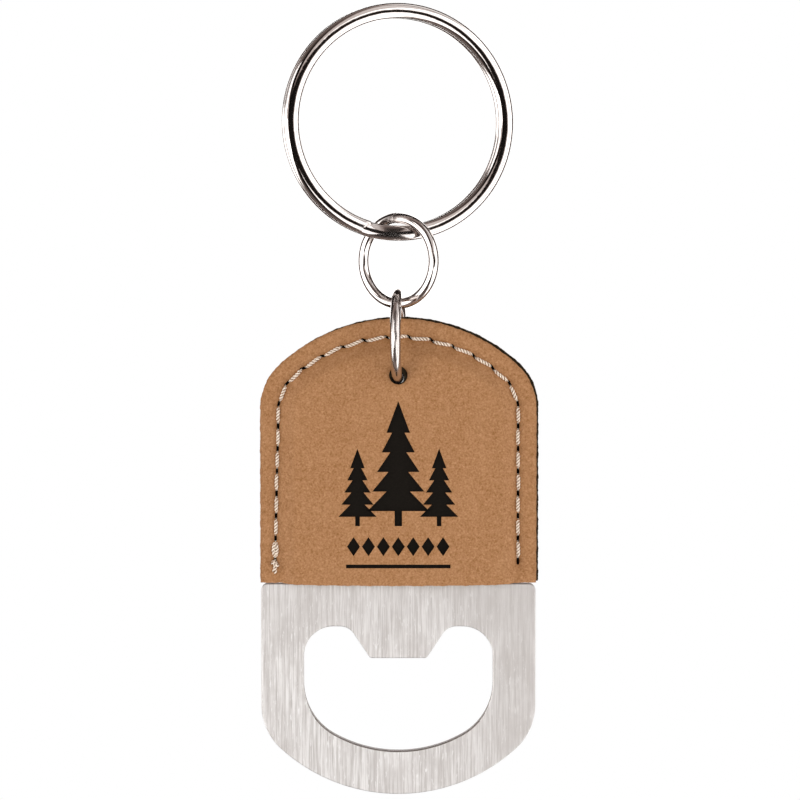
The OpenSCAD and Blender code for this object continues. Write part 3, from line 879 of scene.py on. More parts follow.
class Cover:
    """Plan and relief of one cover. Heights are distances from the tag's middle plane."""

    def __init__(self, context, shift, seed):
        c, s = sizes(context, "cover"), sizes(context, "seam")
        self.c, self.s, self.seed = c, s, seed
        self.plate_half = sizes(context, "plate").thickness / 2
        self.top = SKIN_HI[2]
        self.arch = Arch(c.width / 2, c.corner, c.crown, c.height, self.top)
        self.seam = Seam(self.arch, s)
        self.shift = np.asarray(shift)
        self.hole = np.array([0.0, self.top - c.hole_drop])

    def outline(self, gap, ravel, proud=0.0):
        """The cut edge, uneven as a knife left it."""
        edge = self.arch.side(-proud) + self.shift
        foot = edge[0][1]
        xs = np.linspace(edge[-1][0], edge[0][0], 90)[1:-1]
        bowed = self.arch.half * 0.84
        bow = self.c.foot_bow * np.clip(1 - (xs / bowed) ** 2, 0, 1) ** 0.4
        loop = np.concatenate([edge, np.column_stack([xs, foot - bow])])
        loop = spaced(without_repeats(loop), gap)
        step = np.linalg.norm(np.diff(loop, axis=0, append=loop[:1]), axis=1)
        run = np.cumsum(step) / mm(1)
        rough = ripple(run * 1.9, self.seed) * 0.5 + ripple(run * 6.3, self.seed + 3) * 0.3
        return loop + outward(loop) * (ravel * rough)[:, None]

    def ring_hole(self, steps=44):
        """The punched hole in the skin."""
        return arc(self.hole, self.c.hole / 2, 0, math.tau, steps)[:-1]

    def wire_hole(self, context, side, depth, clearance=mm(0.035), steps=44):
        """The board's hole, which closes round the jump ring's wire.

        It leaves room for the wire from the tag's middle out to a depth, over the whole
        swing of the tag."""
        r = sizes(context, "rings")
        mean = (r.small_d - r.wire) / 2
        middle = (JUMP_LO[2] + JUMP_HI[2]) / 2
        out = side * np.linspace(0, depth, 9) / (mean * math.sin(r.jump_turn))
        lift = mean * (1 - np.sqrt(1 - out ** 2))
        drift = mean * out * math.cos(r.jump_turn)
        wide = np.full(len(out), r.wire / 2)
        high = wide / np.sqrt(1 - out ** 2)
        limit = joint_reach("tag_swing")
        swing = np.linspace(-limit, limit, 7)[:, None]
        cos, sin = np.cos(swing), np.sin(swing)
        centres = np.stack([drift * cos - lift * sin, drift * sin + lift * cos],
                           -1).reshape(-1, 2)
        half = np.tile(np.column_stack([wide, high]), (len(swing), 1))
        toward = circle(steps)
        reach = np.sqrt(((toward[:, None] * half) ** 2).sum(-1))
        best = (centres @ toward.T + reach.T).argmax(0)
        reach = reach[np.arange(steps), best][:, None]
        rim = centres[best] + half[best] ** 2 * toward / reach
        return rim + toward * clearance + [0, middle - mean]

    def needle_holes(self, grow=0.0):
        """Outline of each needle hole: a slot along the seam."""
        r = self.s.hole_w / 2 + grow
        reach = self.s.hole_l / 2 - self.s.hole_w / 2
        loops = []
        for k, (hole, along) in enumerate(zip(self.seam.holes, self.seam.directions())):
            along = self.slanted(along)
            across = np.array([-along[1], along[0]])
            size = reach * (1 + 0.25 * math.sin(2.1 * k + self.seed))
            right = arc((0, 0), r, -math.pi / 2, math.pi / 2, 5) + [size, 0]
            left = arc((0, 0), r, math.pi / 2, 1.5 * math.pi, 5) - [size, 0]
            flat = np.concatenate([right, left])
            loops.append(hole + flat[:, :1] * along + flat[:, 1:] * across)
        return loops

    def slanted(self, along):
        """A needle hole's direction: slanted where the seam runs across."""
        turn = self.s.hole_slant * along[0] ** 2
        cos, sin = math.cos(turn), math.sin(turn)
        return np.array([along[0] * cos - along[1] * sin, along[0] * sin + along[1] * cos])

    def seam_distance(self, points):
        """Distance of points from the sewn line."""
        best = np.full(len(points), 1.0)
        for a, b in zip(self.seam.holes[:-1], self.seam.holes[1:]):
            ab = b - a
            t = np.clip(((points - a) @ ab) / (ab @ ab), 0, 1)
            best = np.minimum(best, np.linalg.norm(points - a - t[:, None] * ab, axis=1))
        return best

    def needle_distance(self, points):
        """Distance of points from the nearest needle hole's middle."""
        best = np.full(len(points), 1.0)
        for hole in self.seam.holes:
            best = np.minimum(best, np.linalg.norm(points - hole, axis=1))
        return best

    def inset_of(self, points):
        """How far points lie inside this cover's edge, the foot left out."""
        return self.arch.inset_of(*(points - self.shift).T)

    def ring_distance(self, points):
        """Distance of points outside the ring hole's edge."""
        return np.linalg.norm(points - self.hole, axis=1) - self.c.hole / 2

    def outer(self, points):
        """Height of the skin's face."""
        c = self.c
        x, z = points.T
        inset = self.inset_of(points)
        bulge = self.plate_half * smooth(inset, c.bulge_from, c.bulge_to)
        near = self.seam_distance(points)
        tacked = self.seam.holes[-1] + [0, mm(-0.45)]
        spokes = 1 + 0.35 * np.cos(5 * np.arctan2(z - tacked[1], x - tacked[0]))
        puckers = dent(TACK, np.linalg.norm(points - tacked, axis=1)) * spokes
        dimple = dent(DIMPLE, self.needle_distance(points)) + puckers
        round_off = EDGE_DROP * (1 - smooth(inset, mm(-0.05), mm(0.42))) ** 1.6
        lift = z - (self.top - c.height)
        foot = FOOT_DROP * (1 - smooth(lift, mm(-0.4), mm(0.45))) ** 1.4
        sway = SWAY * ripple(x / mm(4.7), self.seed) * ripple(z / mm(6.1), self.seed + 1)
        return c.thickness + bulge + sway * 0.5 - dent(CREASE, near) - dent(PULL, near) \
            - dimple - round_off - dent(LIP, self.ring_distance(points)) - foot

    def pressed(self, points):
        """Where the leather is darkened, partly where the stitching presses it and partly as
        painted shade: along the seam and its needle holes, the edge and the ring hole. The
        slope under the crown is painted shade alone.
        """
        inset = self.inset_of(points)
        seam = bell(self.seam_distance(points), CREASE[1])
        holes = bell(self.needle_distance(points), DIMPLE[1])
        crown = smooth(points[:, 1], self.top - mm(9.5), self.top - mm(5.5))
        # Painted shade on the slope just inside the crown's stitches.
        crown_slope_shade = bell(inset - mm(3.9), mm(1.3)) * 0.3 * crown
        edge = 1 - smooth(inset, mm(0), mm(0.3))
        hole = bell(self.ring_distance(points), mm(0.22))
        return np.clip(seam * 0.55 + holes * 0.6 + crown_slope_shade + edge * 0.7 + hole * 0.7, 0, 1)

    def inner(self, points):
        """Height of the board's inner face: the middle plane, and the pocket's floor."""
        x, z = points.T
        inset = self.arch.inset_of(x, z)
        pocket = smooth(inset, self.c.tang_inset - mm(0.75), self.c.tang_inset - mm(0.1))
        return mm(0.02) + (self.plate_half + mm(0.01)) * pocket

    def place(self, points, height, side):
        """Plan points stood up at their heights. side is -1 in front and 1 behind."""
        return np.column_stack([points[:, 0], side * height, points[:, 1]])


def pine(middle, ground, height, width, tiers):
    """Outline of a pine: tiers of drooping branches on a trunk."""
    trunk_h, trunk = height * 0.12, width * 0.06
    visible, taper = 0.62, 0.155
    tier_h = (height - trunk_h) / (tiers * visible + 1 - visible)
    rise = tier_h * visible
    right = [(trunk, 0), (trunk, trunk_h)]
    for k in range(tiers):
        foot = trunk_h + k * rise
        half = width / 2 * (1 - k * taper)
        right.append((half, foot))
        if k + 1 < tiers:
            right.append((half * (1 - rise / tier_h), foot + rise))
    right.append((0, height))
    left = [(-x, z) for x, z in right[-2::-1]]
    return np.array(right + left) + [middle, ground]


def emblem_loops(context, top):
    """Outlines of the engraving: three pines, a row of lozenges and a rule."""
    e = sizes(context, "emblem")
    ground = top - e.foot_drop
    aside, small = e.pine_w * 0.66, 0.62
    loops = [pine(0, ground, e.pine_h, e.pine_w, e.tiers)]
    for side in (-1, 1):
        loops.append(pine(side * aside, ground, e.pine_h * small, e.pine_w * small,
                          e.tiers))
    pitch, reach, rise = e.lozenge * 0.78, e.lozenge * 0.34, e.lozenge / 2
    for k in range(e.lozenges):
        middle = np.array([(k - (e.lozenges - 1) / 2) * pitch, top - e.lozenge_drop])
        loops.append(middle + [[reach, 0], [0, rise], [-reach, 0], [0, -rise]])
    half, low = e.lozenges * pitch / 2, top - e.rule_drop - e.rule / 2
    high = top - e.rule_drop + e.rule / 2
    loops.append(np.array([[half, high], [-half, high], [-half, low], [half, low]]))
    return [spaced(loop, mm(0.3)) for loop in loops]


def scatter_points(cover, outline, loops, gap, fine):
    """Points inside a cover, closer together along its seam."""
    lo, hi = outline.min(0), outline.max(0)
    wide = hexes(lo, hi, gap)
    wide = wide[cover.seam_distance(wide) > fine * 2.4]
    close = hexes(lo, hi, fine)
    close = close[cover.seam_distance(close) < fine * 2.6]
    points = np.concatenate([wide, close])
    points = points[inside(points, outline)]
    lift = points[:, 1] - (cover.top - cover.c.height + cover.shift[1])
    points = points[(cover.inset_of(points) > mm(0.16)) & (lift > mm(-0.15))]
    return clear_of(points, loops, fine * 0.55)


def build_skin(context, cover, side, name, engraved):
    """The coloured skin of a cover, with its needle holes and its engraving cut through."""
    c = cover.c
    outline = cover.outline(CUT_STEP, c.ravel)
    loops = [cover.ring_hole(), *cover.needle_holes()]
    if engraved:
        loops += emblem_loops(context, cover.top)
    scatter = scatter_points(cover, outline, loops, c.grid, c.grid * 0.5)
    points, tris, rows = triangulate([outline, *loops], scatter)
    if side > 0:
        tris = tris[:, ::-1]
    height = cover.outer(points)
    tan, cut, blackened = range(3)
    shell = Shell()
    top = shell.add(cover.place(points, height, side), tris.tolist(), tan,
                    pressed=cover.pressed(points))
    under = shell.add(cover.place(points, height - c.skin, side),
                      tris[:, ::-1].tolist(), cut, pressed=0.0)
    # The ring hole's and needle holes' walls take the engraving's black as painted shade; the
    # engraving's own walls are charred.
    for row in rows:
        shell.wall([top + i for i in row], [under + i for i in row], side > 0,
                   cut if row is rows[0] else blackened)
    return shell.make(context, name, ["tan_leather", "tan_cut_edge", "engraved_black"],
                      sharp=50)


def charred(context, cover, points):
    """Which points of the board lie in the pines' field, where it is burnt black."""
    e = sizes(context, "emblem")
    below = points[:, 1] < cover.top - e.foot_drop + e.pine_h * 1.05
    return below & (np.abs(points[:, 0]) < e.pine_w * 1.1)


def frayed_rows(shell, cover, side, flat, high, low, steps=4):
    """Adds uneven rows of points down the board's cut edge and returns their numbers."""
    run = np.arange(len(flat)) * 0.9
    on_foot = flat[:, 1] < cover.top - cover.c.height + cover.shift[1] + mm(0.2)
    rows = []
    for k in range(steps):
        t = (k + 0.7) / (steps + 0.4)
        push = mm(0.028) * (ripple(run, cover.seed + 4 * k)
                            + ripple(run * 2.3, cover.seed + 7 * k) * 0.7)
        push = np.where(on_foot, np.minimum(push, 0), push)
        moved = flat + outward(flat) * push[:, None]
        first = shell.add(cover.place(moved, high * (1 - t) + low * t, side), [],
                          frayed=1.0)
        rows.append(range(first, first + len(flat)))
    return rows


def needle_pit(shell, cover, side, rim, flat, height):
    """Adds a blind needle hole below its rim: a wall that narrows to a floor."""
    middle = flat.mean(0)
    floor = middle + (flat - middle) * 0.8
    first = shell.add(cover.place(floor, np.full(len(flat), height), side), [],
                      frayed=0.0)
    low = tuple(range(first, first + len(flat)))
    shell.wall(rim, low, side > 0)
    (ax, az), (bx, bz), (cx, cz) = floor[:3]
    turn = (bx - ax) * (cz - bz) - (bz - az) * (cx - bx)
    forward = (turn > 0) == (side < 0)
    shell.faces.append(low if forward else low[::-1])
    shell.slots.append(0)


def build_board(context, cover, side, name, engraved):
    """The black board under a skin: a pocket inside, blind needle holes outside."""
    c = cover.c
    outline = cover.outline(CUT_STEP, c.ravel * 1.25, proud=mm(-0.05))
    holes = cover.needle_holes(grow=mm(0.03))
    ring = cover.wire_hole(context, side, c.thickness + cover.plate_half)
    low_ring = cover.wire_hole(context, side, cover.plate_half)
    grid, fine = c.board_grid, c.board_grid * 0.5
    shell = Shell()

    # The face under the skin, its pines' field in the second material.
    scatter = scatter_points(cover, outline, [ring, *holes], grid, fine)
    points, tris, rows = triangulate([outline, ring, *holes], scatter)
    height = cover.outer(points) - c.skin - c.board_gap
    face = tris if side < 0 else tris[:, ::-1]
    blackened = charred(context, cover, points[tris].mean(1)) & engraved
    top = shell.add(cover.place(points, height, side), face[~blackened].tolist(),
                    frayed=0.25)
    shell.faces.extend(map(tuple, (face[blackened] + top).tolist()))
    shell.slots.extend([1] * int(blackened.sum()))

    # The face towards the plate, with the pocket for its tang.
    scatter = scatter_points(cover, outline, [low_ring], grid, fine)
    low_points, low_tris, low_rows = triangulate([outline, low_ring], scatter)
    if side < 0:
        low_tris = low_tris[:, ::-1]
    under = shell.add(cover.place(low_points, cover.inner(low_points), side),
                      low_tris.tolist(), frayed=0.3)

    # The cut edge and the ring hole's wall, then the needle holes.
    for row, low_row in zip(rows, low_rows):
        levels = [[top + i for i in row]]
        if row is rows[0]:
            levels += frayed_rows(shell, cover, side, points[row], height[row],
                                  cover.inner(low_points[low_row]))
        levels.append([under + i for i in low_row])
        for upper, lower in zip(levels[:-1], levels[1:]):
            shell.wall(upper, lower, side > 0)
    for row in rows[2:]:
        needle_pit(shell, cover, side, [top + i for i in row], points[row],
                   height[row].mean() - mm(0.55))
    return shell.make(context, name, ["black_board", "engraved_black"], sharp=50)


# ---------------------------------------------------------------- thread

def twist_ply(shell, path, s, phase, radius, sides=9):
    """Adds one strand, wound round a path, to a shell. radius is the strand's own."""
    step = np.linalg.norm(np.diff(path, axis=0), axis=1)
    run = np.concatenate([[0], np.cumsum(step)])
    along = unit(np.gradient(path, axis=0))
    out = unit(np.array([0, 1.0, 0]) - along * along[:, 1:2])
    steep = 0.95
    plunging = np.abs(along[:, 1]) > steep
    if plunging.any():
        out[plunging] = unit(np.cross(along[plunging], [1.0, 0.2, 0.1]))
    across = np.cross(along, out)
    turn = math.tau * run / s.twist + phase
    wound = radius * 1.02
    centre = path + wound * (np.cos(turn)[:, None] * out + np.sin(turn)[:, None] * across)
    tapered = radius * np.interp(run / run[-1], [0, 0.12, 0.88, 1], [0.8, 1.0, 1.0, 0.8])
    points, faces = sweep(centre, circle(sides) * tapered[:, None, None], out)
    spine = np.repeat(path, sides, axis=0)
    reach = np.linalg.norm(points - spine, axis=1)
    # Painted shade between the strands: 1 where the strand turns in towards the thread's
    # middle, 0 on its crest.
    shell.add(points, faces, valley=1 - smooth(reach, wound * 1.3, wound * 1.78))


def stitch_path(cover, a, b, side, lean, lift=0.0, rows=38):
    """Centre line of one stitch: out of one hole, over the leather, into the next.

    lean is how far it bows aside, and lift how far it rides on another stitch, in
    diameters of the thread."""
    s = cover.s
    along = unit(b - a)
    across = np.array([-along[1], along[0]])
    slant = s.stitch_slant * along[0] ** 2
    whole = np.linalg.norm(b - a)
    t = np.linspace(0, 1, rows)
    margin = s.hole_l * (0.42 - 0.16 * along[0] ** 2)
    place = margin + t * (whole - 2 * margin)
    bend = np.minimum(t, 1 - t) * (whole - 2 * margin)
    sway = lean * np.sin(math.pi * t) + slant * (2 * t - 1) * smooth(bend, 0, mm(0.5))
    flat = a + place[:, None] * along + sway[:, None] * across
    bedded, depth = 0.34, mm(0.62)
    rest = cover.outer(flat) + s.thread * (bedded + lift)
    plunge = depth * (1 - smooth(bend, mm(-0.05), mm(0.5)))
    return cover.place(flat, rest - plunge, side)


def add_thread(shell, path, s, phase=0.0, spread=0.0):
    """Adds all strands of the thread along a path; spread frays them at its end."""
    squeeze = 1.12
    ply = s.thread / 2 / (1 + 1 / math.sin(math.pi / s.plies)) * squeeze
    t = np.linspace(0, 1, len(path))
    for p in range(s.plies):
        swing = math.tau * p / s.plies
        away = np.array([math.cos(swing), 0, math.sin(swing) * 0.3]) * spread
        twist_ply(shell, path + smooth(t, 0.55, 1.0)[:, None] * away, s, swing + phase, ply)


def build_stitches(context, cover, side, name):
    """All stitches on one side, with the back-tack and the thread's tail in front."""
    s = cover.s
    shell = Shell()
    holes = cover.seam.holes
    for k, (a, b) in enumerate(zip(holes[:-1], holes[1:])):
        if side < 0 and k == 0:
            # The first stitch was sewn twice, so two threads lie side by side.
            for swing in (-1, 1):
                path = stitch_path(cover, a, b, side, mm(0.24) * swing, lift=0.12)
                add_thread(shell, path, s, swing)
            add_tail(shell, cover, s, side)
        else:
            lean = mm(0.05) * math.sin(1.9 * k + cover.seed)
            add_thread(shell, stitch_path(cover, a, b, side, lean), s, 1.3 * k)
    return shell.make(context, name, ["cream_thread"])


def add_tail(shell, cover, s, side):
    """A turn of thread round the first hole's end, and the cut tail below it."""
    first, second = cover.seam.holes[:2]
    down = unit(first - second)
    across = np.array([-down[1], down[0]])
    t = np.linspace(0, 1, 34)
    # The turn: from side to side over the stitches, high in its middle.
    drop = mm(0.42) + mm(0.22) * np.sin(math.pi * 2 * t)
    sway = mm(0.36) * np.cos(math.pi * t)
    flat = first + down * drop[:, None] + across * sway[:, None]
    height = cover.outer(flat) + s.thread * (0.2 + 0.62 * np.sin(math.pi * t))
    add_thread(shell, cover.place(flat, height, side), s)
    # The tail: up out of the hole, then along the leather.
    drop, sway = s.tail * t - mm(0.1), mm(0.05) * np.sin(4 * t)
    flat = first + down * drop[:, None] + across * sway[:, None]
    height = cover.outer(flat) + s.thread * 0.4
    height -= mm(0.5) * (1 - smooth(t, 0, 0.14))
    add_thread(shell, cover.place(flat, height, side), s, spread=mm(0.1))


# ---------------------------------------------------------------- plate

def offset_loop(loop, distance):
    """A loop moved to its left by a distance: inwards where it runs counter-clockwise."""
    before, after = np.roll(loop, 1, 0), np.roll(loop, -1, 0)
    a, b = unit(loop - before), unit(after - loop)
    normal_a = np.column_stack([-a[:, 1], a[:, 0]])
    normal_b = np.column_stack([-b[:, 1], b[:, 0]])
    mean = unit(normal_a + normal_b)
    stretch = 1 / np.maximum((mean * normal_a).sum(1), 0.5)
    return loop + mean * (distance * stretch)[:, None], mean


def mouth_loop(p):
    """The mouth's edge, clockwise, so that its left is the steel."""
    top = PLATE_LO[2] + p.mouth_floor + p.mouth_h
    lean, q = p.tongue_lean, math.pi / 2
    back = p.tongue_corner * math.tan((q - lean) / 2)
    turn_x = p.tongue_w / 2 + p.lobe_turn * math.cos(lean) \
        + (p.tongue_h - p.lobe_turn * (1 - math.sin(lean))) * math.tan(lean)
    arch = Arch(p.mouth_w / 2, p.mouth_corner, p.mouth_end, p.mouth_h, 0)
    half = np.concatenate([
        arc((p.tongue_w / 2 - back, p.tongue_corner - p.tongue_h), p.tongue_corner,
            -q, -lean, 6),
        arc((turn_x, -p.lobe_turn), p.lobe_turn, math.pi - lean, q, 12),
        arc((p.mouth_w / 2 - p.lobe, -p.lobe), p.lobe, q, 0, 18),
        arc((arch.cx, arch.drop - p.mouth_h), p.mouth_corner, 0, arch.join - q, 20),
        arc((0, p.mouth_end - p.mouth_h), p.mouth_end, arch.join - q, -q, 14)])
    loop = np.concatenate([half, half[-2::-1] * [-1, 1]])
    return without_repeats(loop + [0, top])


def plate_loop(context):
    """The plate's outline, counter-clockwise: blade, shoulders and tang."""
    c, p = sizes(context, "cover"), sizes(context, "plate")
    top = SKIN_HI[2]
    shoulder = top - c.height - p.shoulder_gap
    q = math.pi / 2
    tang = Arch(c.width / 2, c.corner, c.crown, c.height + p.shoulder_gap, top)
    tang_edge = tang.side(c.tang_inset)
    blade = Arch(p.half_width, p.corner, p.end, shoulder - PLATE_LO[2], 0)
    under = blade.side(0.0, 18)[::-1] * [1, -1] + [0, PLATE_LO[2]]
    under = under[1:-1]
    r = p.shoulder
    right = arc((p.half_width - r, shoulder - r), r, 0, q, 6)
    left = arc((-p.half_width + r, shoulder - r), r, q, 2 * q, 6)
    return without_repeats(np.concatenate([under, right, tang_edge, left]))


def build_plate(context):
    """The steel plate with its edges tumbled round."""
    c, p = sizes(context, "cover"), sizes(context, "plate")
    half, r = p.thickness / 2, p.edge
    hole = arc((0, SKIN_HI[2] - c.hole_drop), p.tang_hole / 2, math.tau, 0, 40)[:-1]
    loops = [spaced(loop, mm(1.2)) for loop in (plate_loop(context), mouth_loop(p), hole)]
    turns = np.linspace(0, math.pi / 2, 5)
    # Down the wall from face to face: inset, height, and the turn of the surface.
    profile = [(r * (1 - math.sin(a)), -half + r * (1 - math.cos(a)), a) for a in turns]
    profile += [(d, -y, math.pi - a) for d, y, a in profile[::-1]]
    shell, normals, insets = Shell(), [], []
    middle = len(profile) // 2 - 1
    # The mouth's lower edge takes the wall's dark finish too, as painted shade, further up in
    # the plate's middle.
    shaded_z, shaded_step = PLATE_LO[2] + p.mouth_floor + p.mouth_h * 0.5, p.mouth_h * 0.06
    for loop in loops:
        rings = []
        for depth, y, a in profile:
            moved, inward = offset_loop(loop, depth)
            ring = np.column_stack([moved[:, 0], np.full(len(moved), y), moved[:, 1]])
            rings.append(shell.add(ring, []))
            normals.append(np.column_stack([-inward[:, 0] * math.sin(a),
                                            np.full(len(moved), -math.cos(a)),
                                            -inward[:, 1] * math.sin(a)]))
        n = len(loop)
        for level, (upper, lower) in enumerate(zip(rings[:-1], rings[1:])):
            stamped_and_shaded_rows = np.full(n, level == middle)
            if loop is loops[1]:
                stamped_and_shaded_rows |= loop[:, 1] < shaded_z - abs(level - middle) * shaded_step
            shell.wall(range(upper, upper + n), range(lower, lower + n),
                       slots=stamped_and_shaded_rows.astype(int))
        insets.append((offset_loop(loop, profile[0][0])[0], rings[0], rings[-1]))
    flat, tris, rows = triangulate([inset for inset, _, _ in insets], [])
    owner = {}
    for (_, front, back), row in zip(insets, rows):
        for j, i in enumerate(row):
            owner[i] = (front + j, back + j)
    front_faces = [tuple(owner[i][0] for i in t) for t in tris.tolist()]
    back_faces = [tuple(owner[i][1] for i in t[::-1]) for t in tris.tolist()]
    shell.faces.extend(front_faces + back_faces)
    shell.slots.extend([0] * (2 * len(tris)))
    return shell.make(context, "steel_opener_plate", ["brushed_steel", "stamped_steel"],
                      normals=np.concatenate(normals))


# ---------------------------------------------------------------- rings

def turned(points, turn, centre):
    """Turns points of a ring's own plane about the upright and moves them to its centre."""
    cos, sin = math.cos(turn), math.sin(turn)
    x, y, z = np.asarray(points).T
    return np.column_stack([x * cos - y * sin, x * sin + y * cos, z]) + centre


def ring_points(angles, radius, depth):
    """Points in a ring's own plane at angles counted from the right."""
    return np.column_stack([radius * np.cos(angles), depth, radius * np.sin(angles)])


def from_ends(rows):
    """How many rows each row lies from the nearer end."""
    return np.minimum(np.arange(rows), np.arange(rows)[::-1])


def build_small_ring(context, name, centre, turn, slit_at, skew, rubs_and_shade):
    """A ring of round wire, its two sawn ends nearly meeting.

    skew is how far the ends miss each other. The last argument holds an angle, a width, both in
    degrees, and a strength for each place where the ring is made duller and darker: where it
    wears, and on the jump ring also painted shade in the tag's hole and a dimmer painted
    reflection on its front. The sawn ends are darkened as painted shade."""
    r = sizes(context, "rings")
    mean = (r.small_d - r.wire) / 2
    gap = r.slit / mean
    rows, sides = 200, 28
    t = np.linspace(0, 1, rows)
    a = slit_at + gap / 2 + t * (math.tau - gap)
    end = 1 - smooth(np.minimum(t, 1 - t), 0, 0.16)
    which = np.where(t < 0.5, 1, -1)
    path = ring_points(a, mean + end * which * skew * 0.55, end * which * skew)
    # The sawn ends' rims are broken: two close rows, the outer one smaller.
    path[1] = path[0] + (path[2] - path[0]) * 0.12
    path[-2] = path[-1] + (path[-3] - path[-1]) * 0.12
    shrink = np.interp(from_ends(rows), [0, 1, 2], [0.86, 0.965, 1.0])
    section = (circle(sides) * r.wire / 2)[None] * shrink[:, None, None]
    points, faces = sweep(path, section, unit(ring_points(a, 1, np.zeros(rows))))
    # Its sawn ends darkened as painted shade.
    worn_and_shaded = end ** 6
    for at, width, strength in rubs_and_shade:
        off = angle_off(a, math.radians(at))
        worn_and_shaded = np.maximum(worn_and_shaded, strength * bell(off, math.radians(width)))
    shell = Shell()
    shell.add(turned(points, turn, centre), faces, rubbed=np.repeat(worn_and_shaded, sides))
    return shell.make(context, name, ["bright_nickel"], sharp=50)


def wire_section(width, thickness, sides=36, power=2.15):
    """A flattened wire: a rounded oblong of (across, up) points."""
    a = np.arange(sides) * 2 * math.pi / sides
    cos, sin = np.cos(a), np.sin(a)
    x = np.sign(cos) * np.abs(cos) ** (2 / power) * width / 2
    y = np.sign(sin) * np.abs(sin) ** (2 / power) * thickness / 2
    return np.column_stack([y, x])


def build_key_ring(context):
    """The split ring: one wire wound through two turns, with a step between them."""
    r = sizes(context, "rings")
    mean = (r.key_d - r.key_w) / 2
    offset = (r.key_t + r.key_gap) / 2
    rows = 620
    a = np.linspace(r.front_end, r.rear_end - 2 * math.tau, rows)
    step = smooth(-a, -(r.ramp_to - math.tau), -(r.ramp_from - math.tau))
    path = ring_points(a, mean, -offset + 2 * offset * step)
    along = np.gradient(path, axis=0)
    section = wire_section(r.key_w, r.key_t)
    sides = len(section)
    points, faces = sweep(path, section, unit(ring_points(a, 1, np.zeros(rows))))
    grid = points.reshape(rows, sides, 3)
    # Each end is cut on a slant and its rim is broken.
    rim, reach_out, set_back = 0.74, mm(0.2), mm(0.5)
    for row, beside, tangent, lean in ((0, 1, along[0], 0.7),
                                       (rows - 1, rows - 2, -along[-1], 0.3)):
        tangent = tangent / np.linalg.norm(tangent)
        out = grid[row] - path[row]
        slant = (out @ unit(path[row] * [1, 0, 1])) * lean
        grid[row] = path[row] + out * rim + tangent * (slant + reach_out)[:, None]
        out = grid[beside] - path[beside]
        grid[beside] = path[row] + out + tangent * (slant + set_back)[:, None]
    # Duller where it hangs; its cut ends darkened as painted shade.
    hung = bell(angle_off(a, -math.pi / 2), math.radians(16)) * 0.35
    worn_and_shaded = np.maximum(hung, np.exp(-from_ends(rows) / 2.5))
    centre = np.array([0, 0, (KEY_HI[2] + KEY_LO[2]) / 2])
    shell = Shell()
    shell.add(turned(grid.reshape(-1, 3), r.key_turn, centre), faces,
              rubbed=np.repeat(worn_and_shaded, sides))
    return shell.make(context, "split_key_ring", ["bright_nickel"], sharp=55)


# ---------------------------------------------------------------- stage

def softbox(context, name, size, place, aim, power):
    """A soft rectangular light that never shows in the picture."""
    light = bpy.data.lights.new(name, "AREA")
    light.shape, light.size, light.size_y = "RECTANGLE", size[0], size[1]
    light.energy = power
    lamp = bpy.data.objects.new(name, light)
    lamp.location = place
    lamp.rotation_euler = (Vector(aim) - Vector(place)).to_track_quat("-Z", "Y").to_euler()
    lamp.visible_camera = False
    context.scene.collection.objects.link(lamp)


def stage_piece(context, name, points, faces, material):
    """A piece of the stage that only the camera sees, left out of the object."""
    mesh = bpy.data.meshes.new(name)
    mesh.from_pydata(points, [], faces)
    mesh.materials.append(material)
    piece = bpy.data.objects.new(name, mesh)
    for ray in ("diffuse", "glossy", "transmission", "shadow", "volume_scatter"):
        setattr(piece, "visible_" + ray, False)
    context.scene.collection.objects.link(piece)


def pale_floor(s):
    """Matt and pale in the middle, running out into the backdrop at its rim."""
    m = Finish("pale_floor")
    reach = m.node("VectorMath", {"operation": "LENGTH"},
                   {0: m.node("VectorMath", {"operation": "MULTIPLY"},
                              {0: m.place, 1: (1, 1, 0)})}, out="Value")
    matt = m.node("BsdfDiffuse", {}, {"Color": (0.9, 0.895, 0.89)})
    rim = m.node("Emission", {}, {"Color": tuple(s.backdrop)})
    whole = m.node("MixShader", {}, {0: 0.5 + reach.between(0, s.floor * 0.92) * 0.5,
                                     1: matt, 2: rim})
    m.output("Material", whole)
    return m.material


def white_backdrop(s):
    """Plain light of one colour."""
    m = Finish("white_backdrop")
    m.output("Material", m.node("Emission", {}, {"Color": tuple(s.backdrop)}))
    return m.material


def build_floor(context, s, segments=96):
    """A round floor below the hanging opener."""
    z = PLATE_LO[2] - s.floor_drop
    points = [(s.floor * x, s.floor * y, z) for x, y in circle(segments).tolist()]
    stage_piece(context, "floor", points, [tuple(range(segments))], pale_floor(s))


def build_backdrop(context, s, radius=2.6, rows=24, cols=48):
    """A plain round room about the stage."""
    polar = np.linspace(0, math.pi, rows)[:, None]
    ring = circle(cols)
    points = radius * np.stack([np.sin(polar) * ring[:, 0], np.sin(polar) * ring[:, 1],
                                np.cos(polar) + 0 * ring[:, 0]], -1)
    faces = [(i * cols + j, i * cols + (j + 1) % cols,
              (i + 1) * cols + (j + 1) % cols, (i + 1) * cols + j)
             for i in range(rows - 1) for j in range(cols)]
    stage_piece(context, "backdrop", points.reshape(-1, 3).tolist(), faces,
                white_backdrop(s))


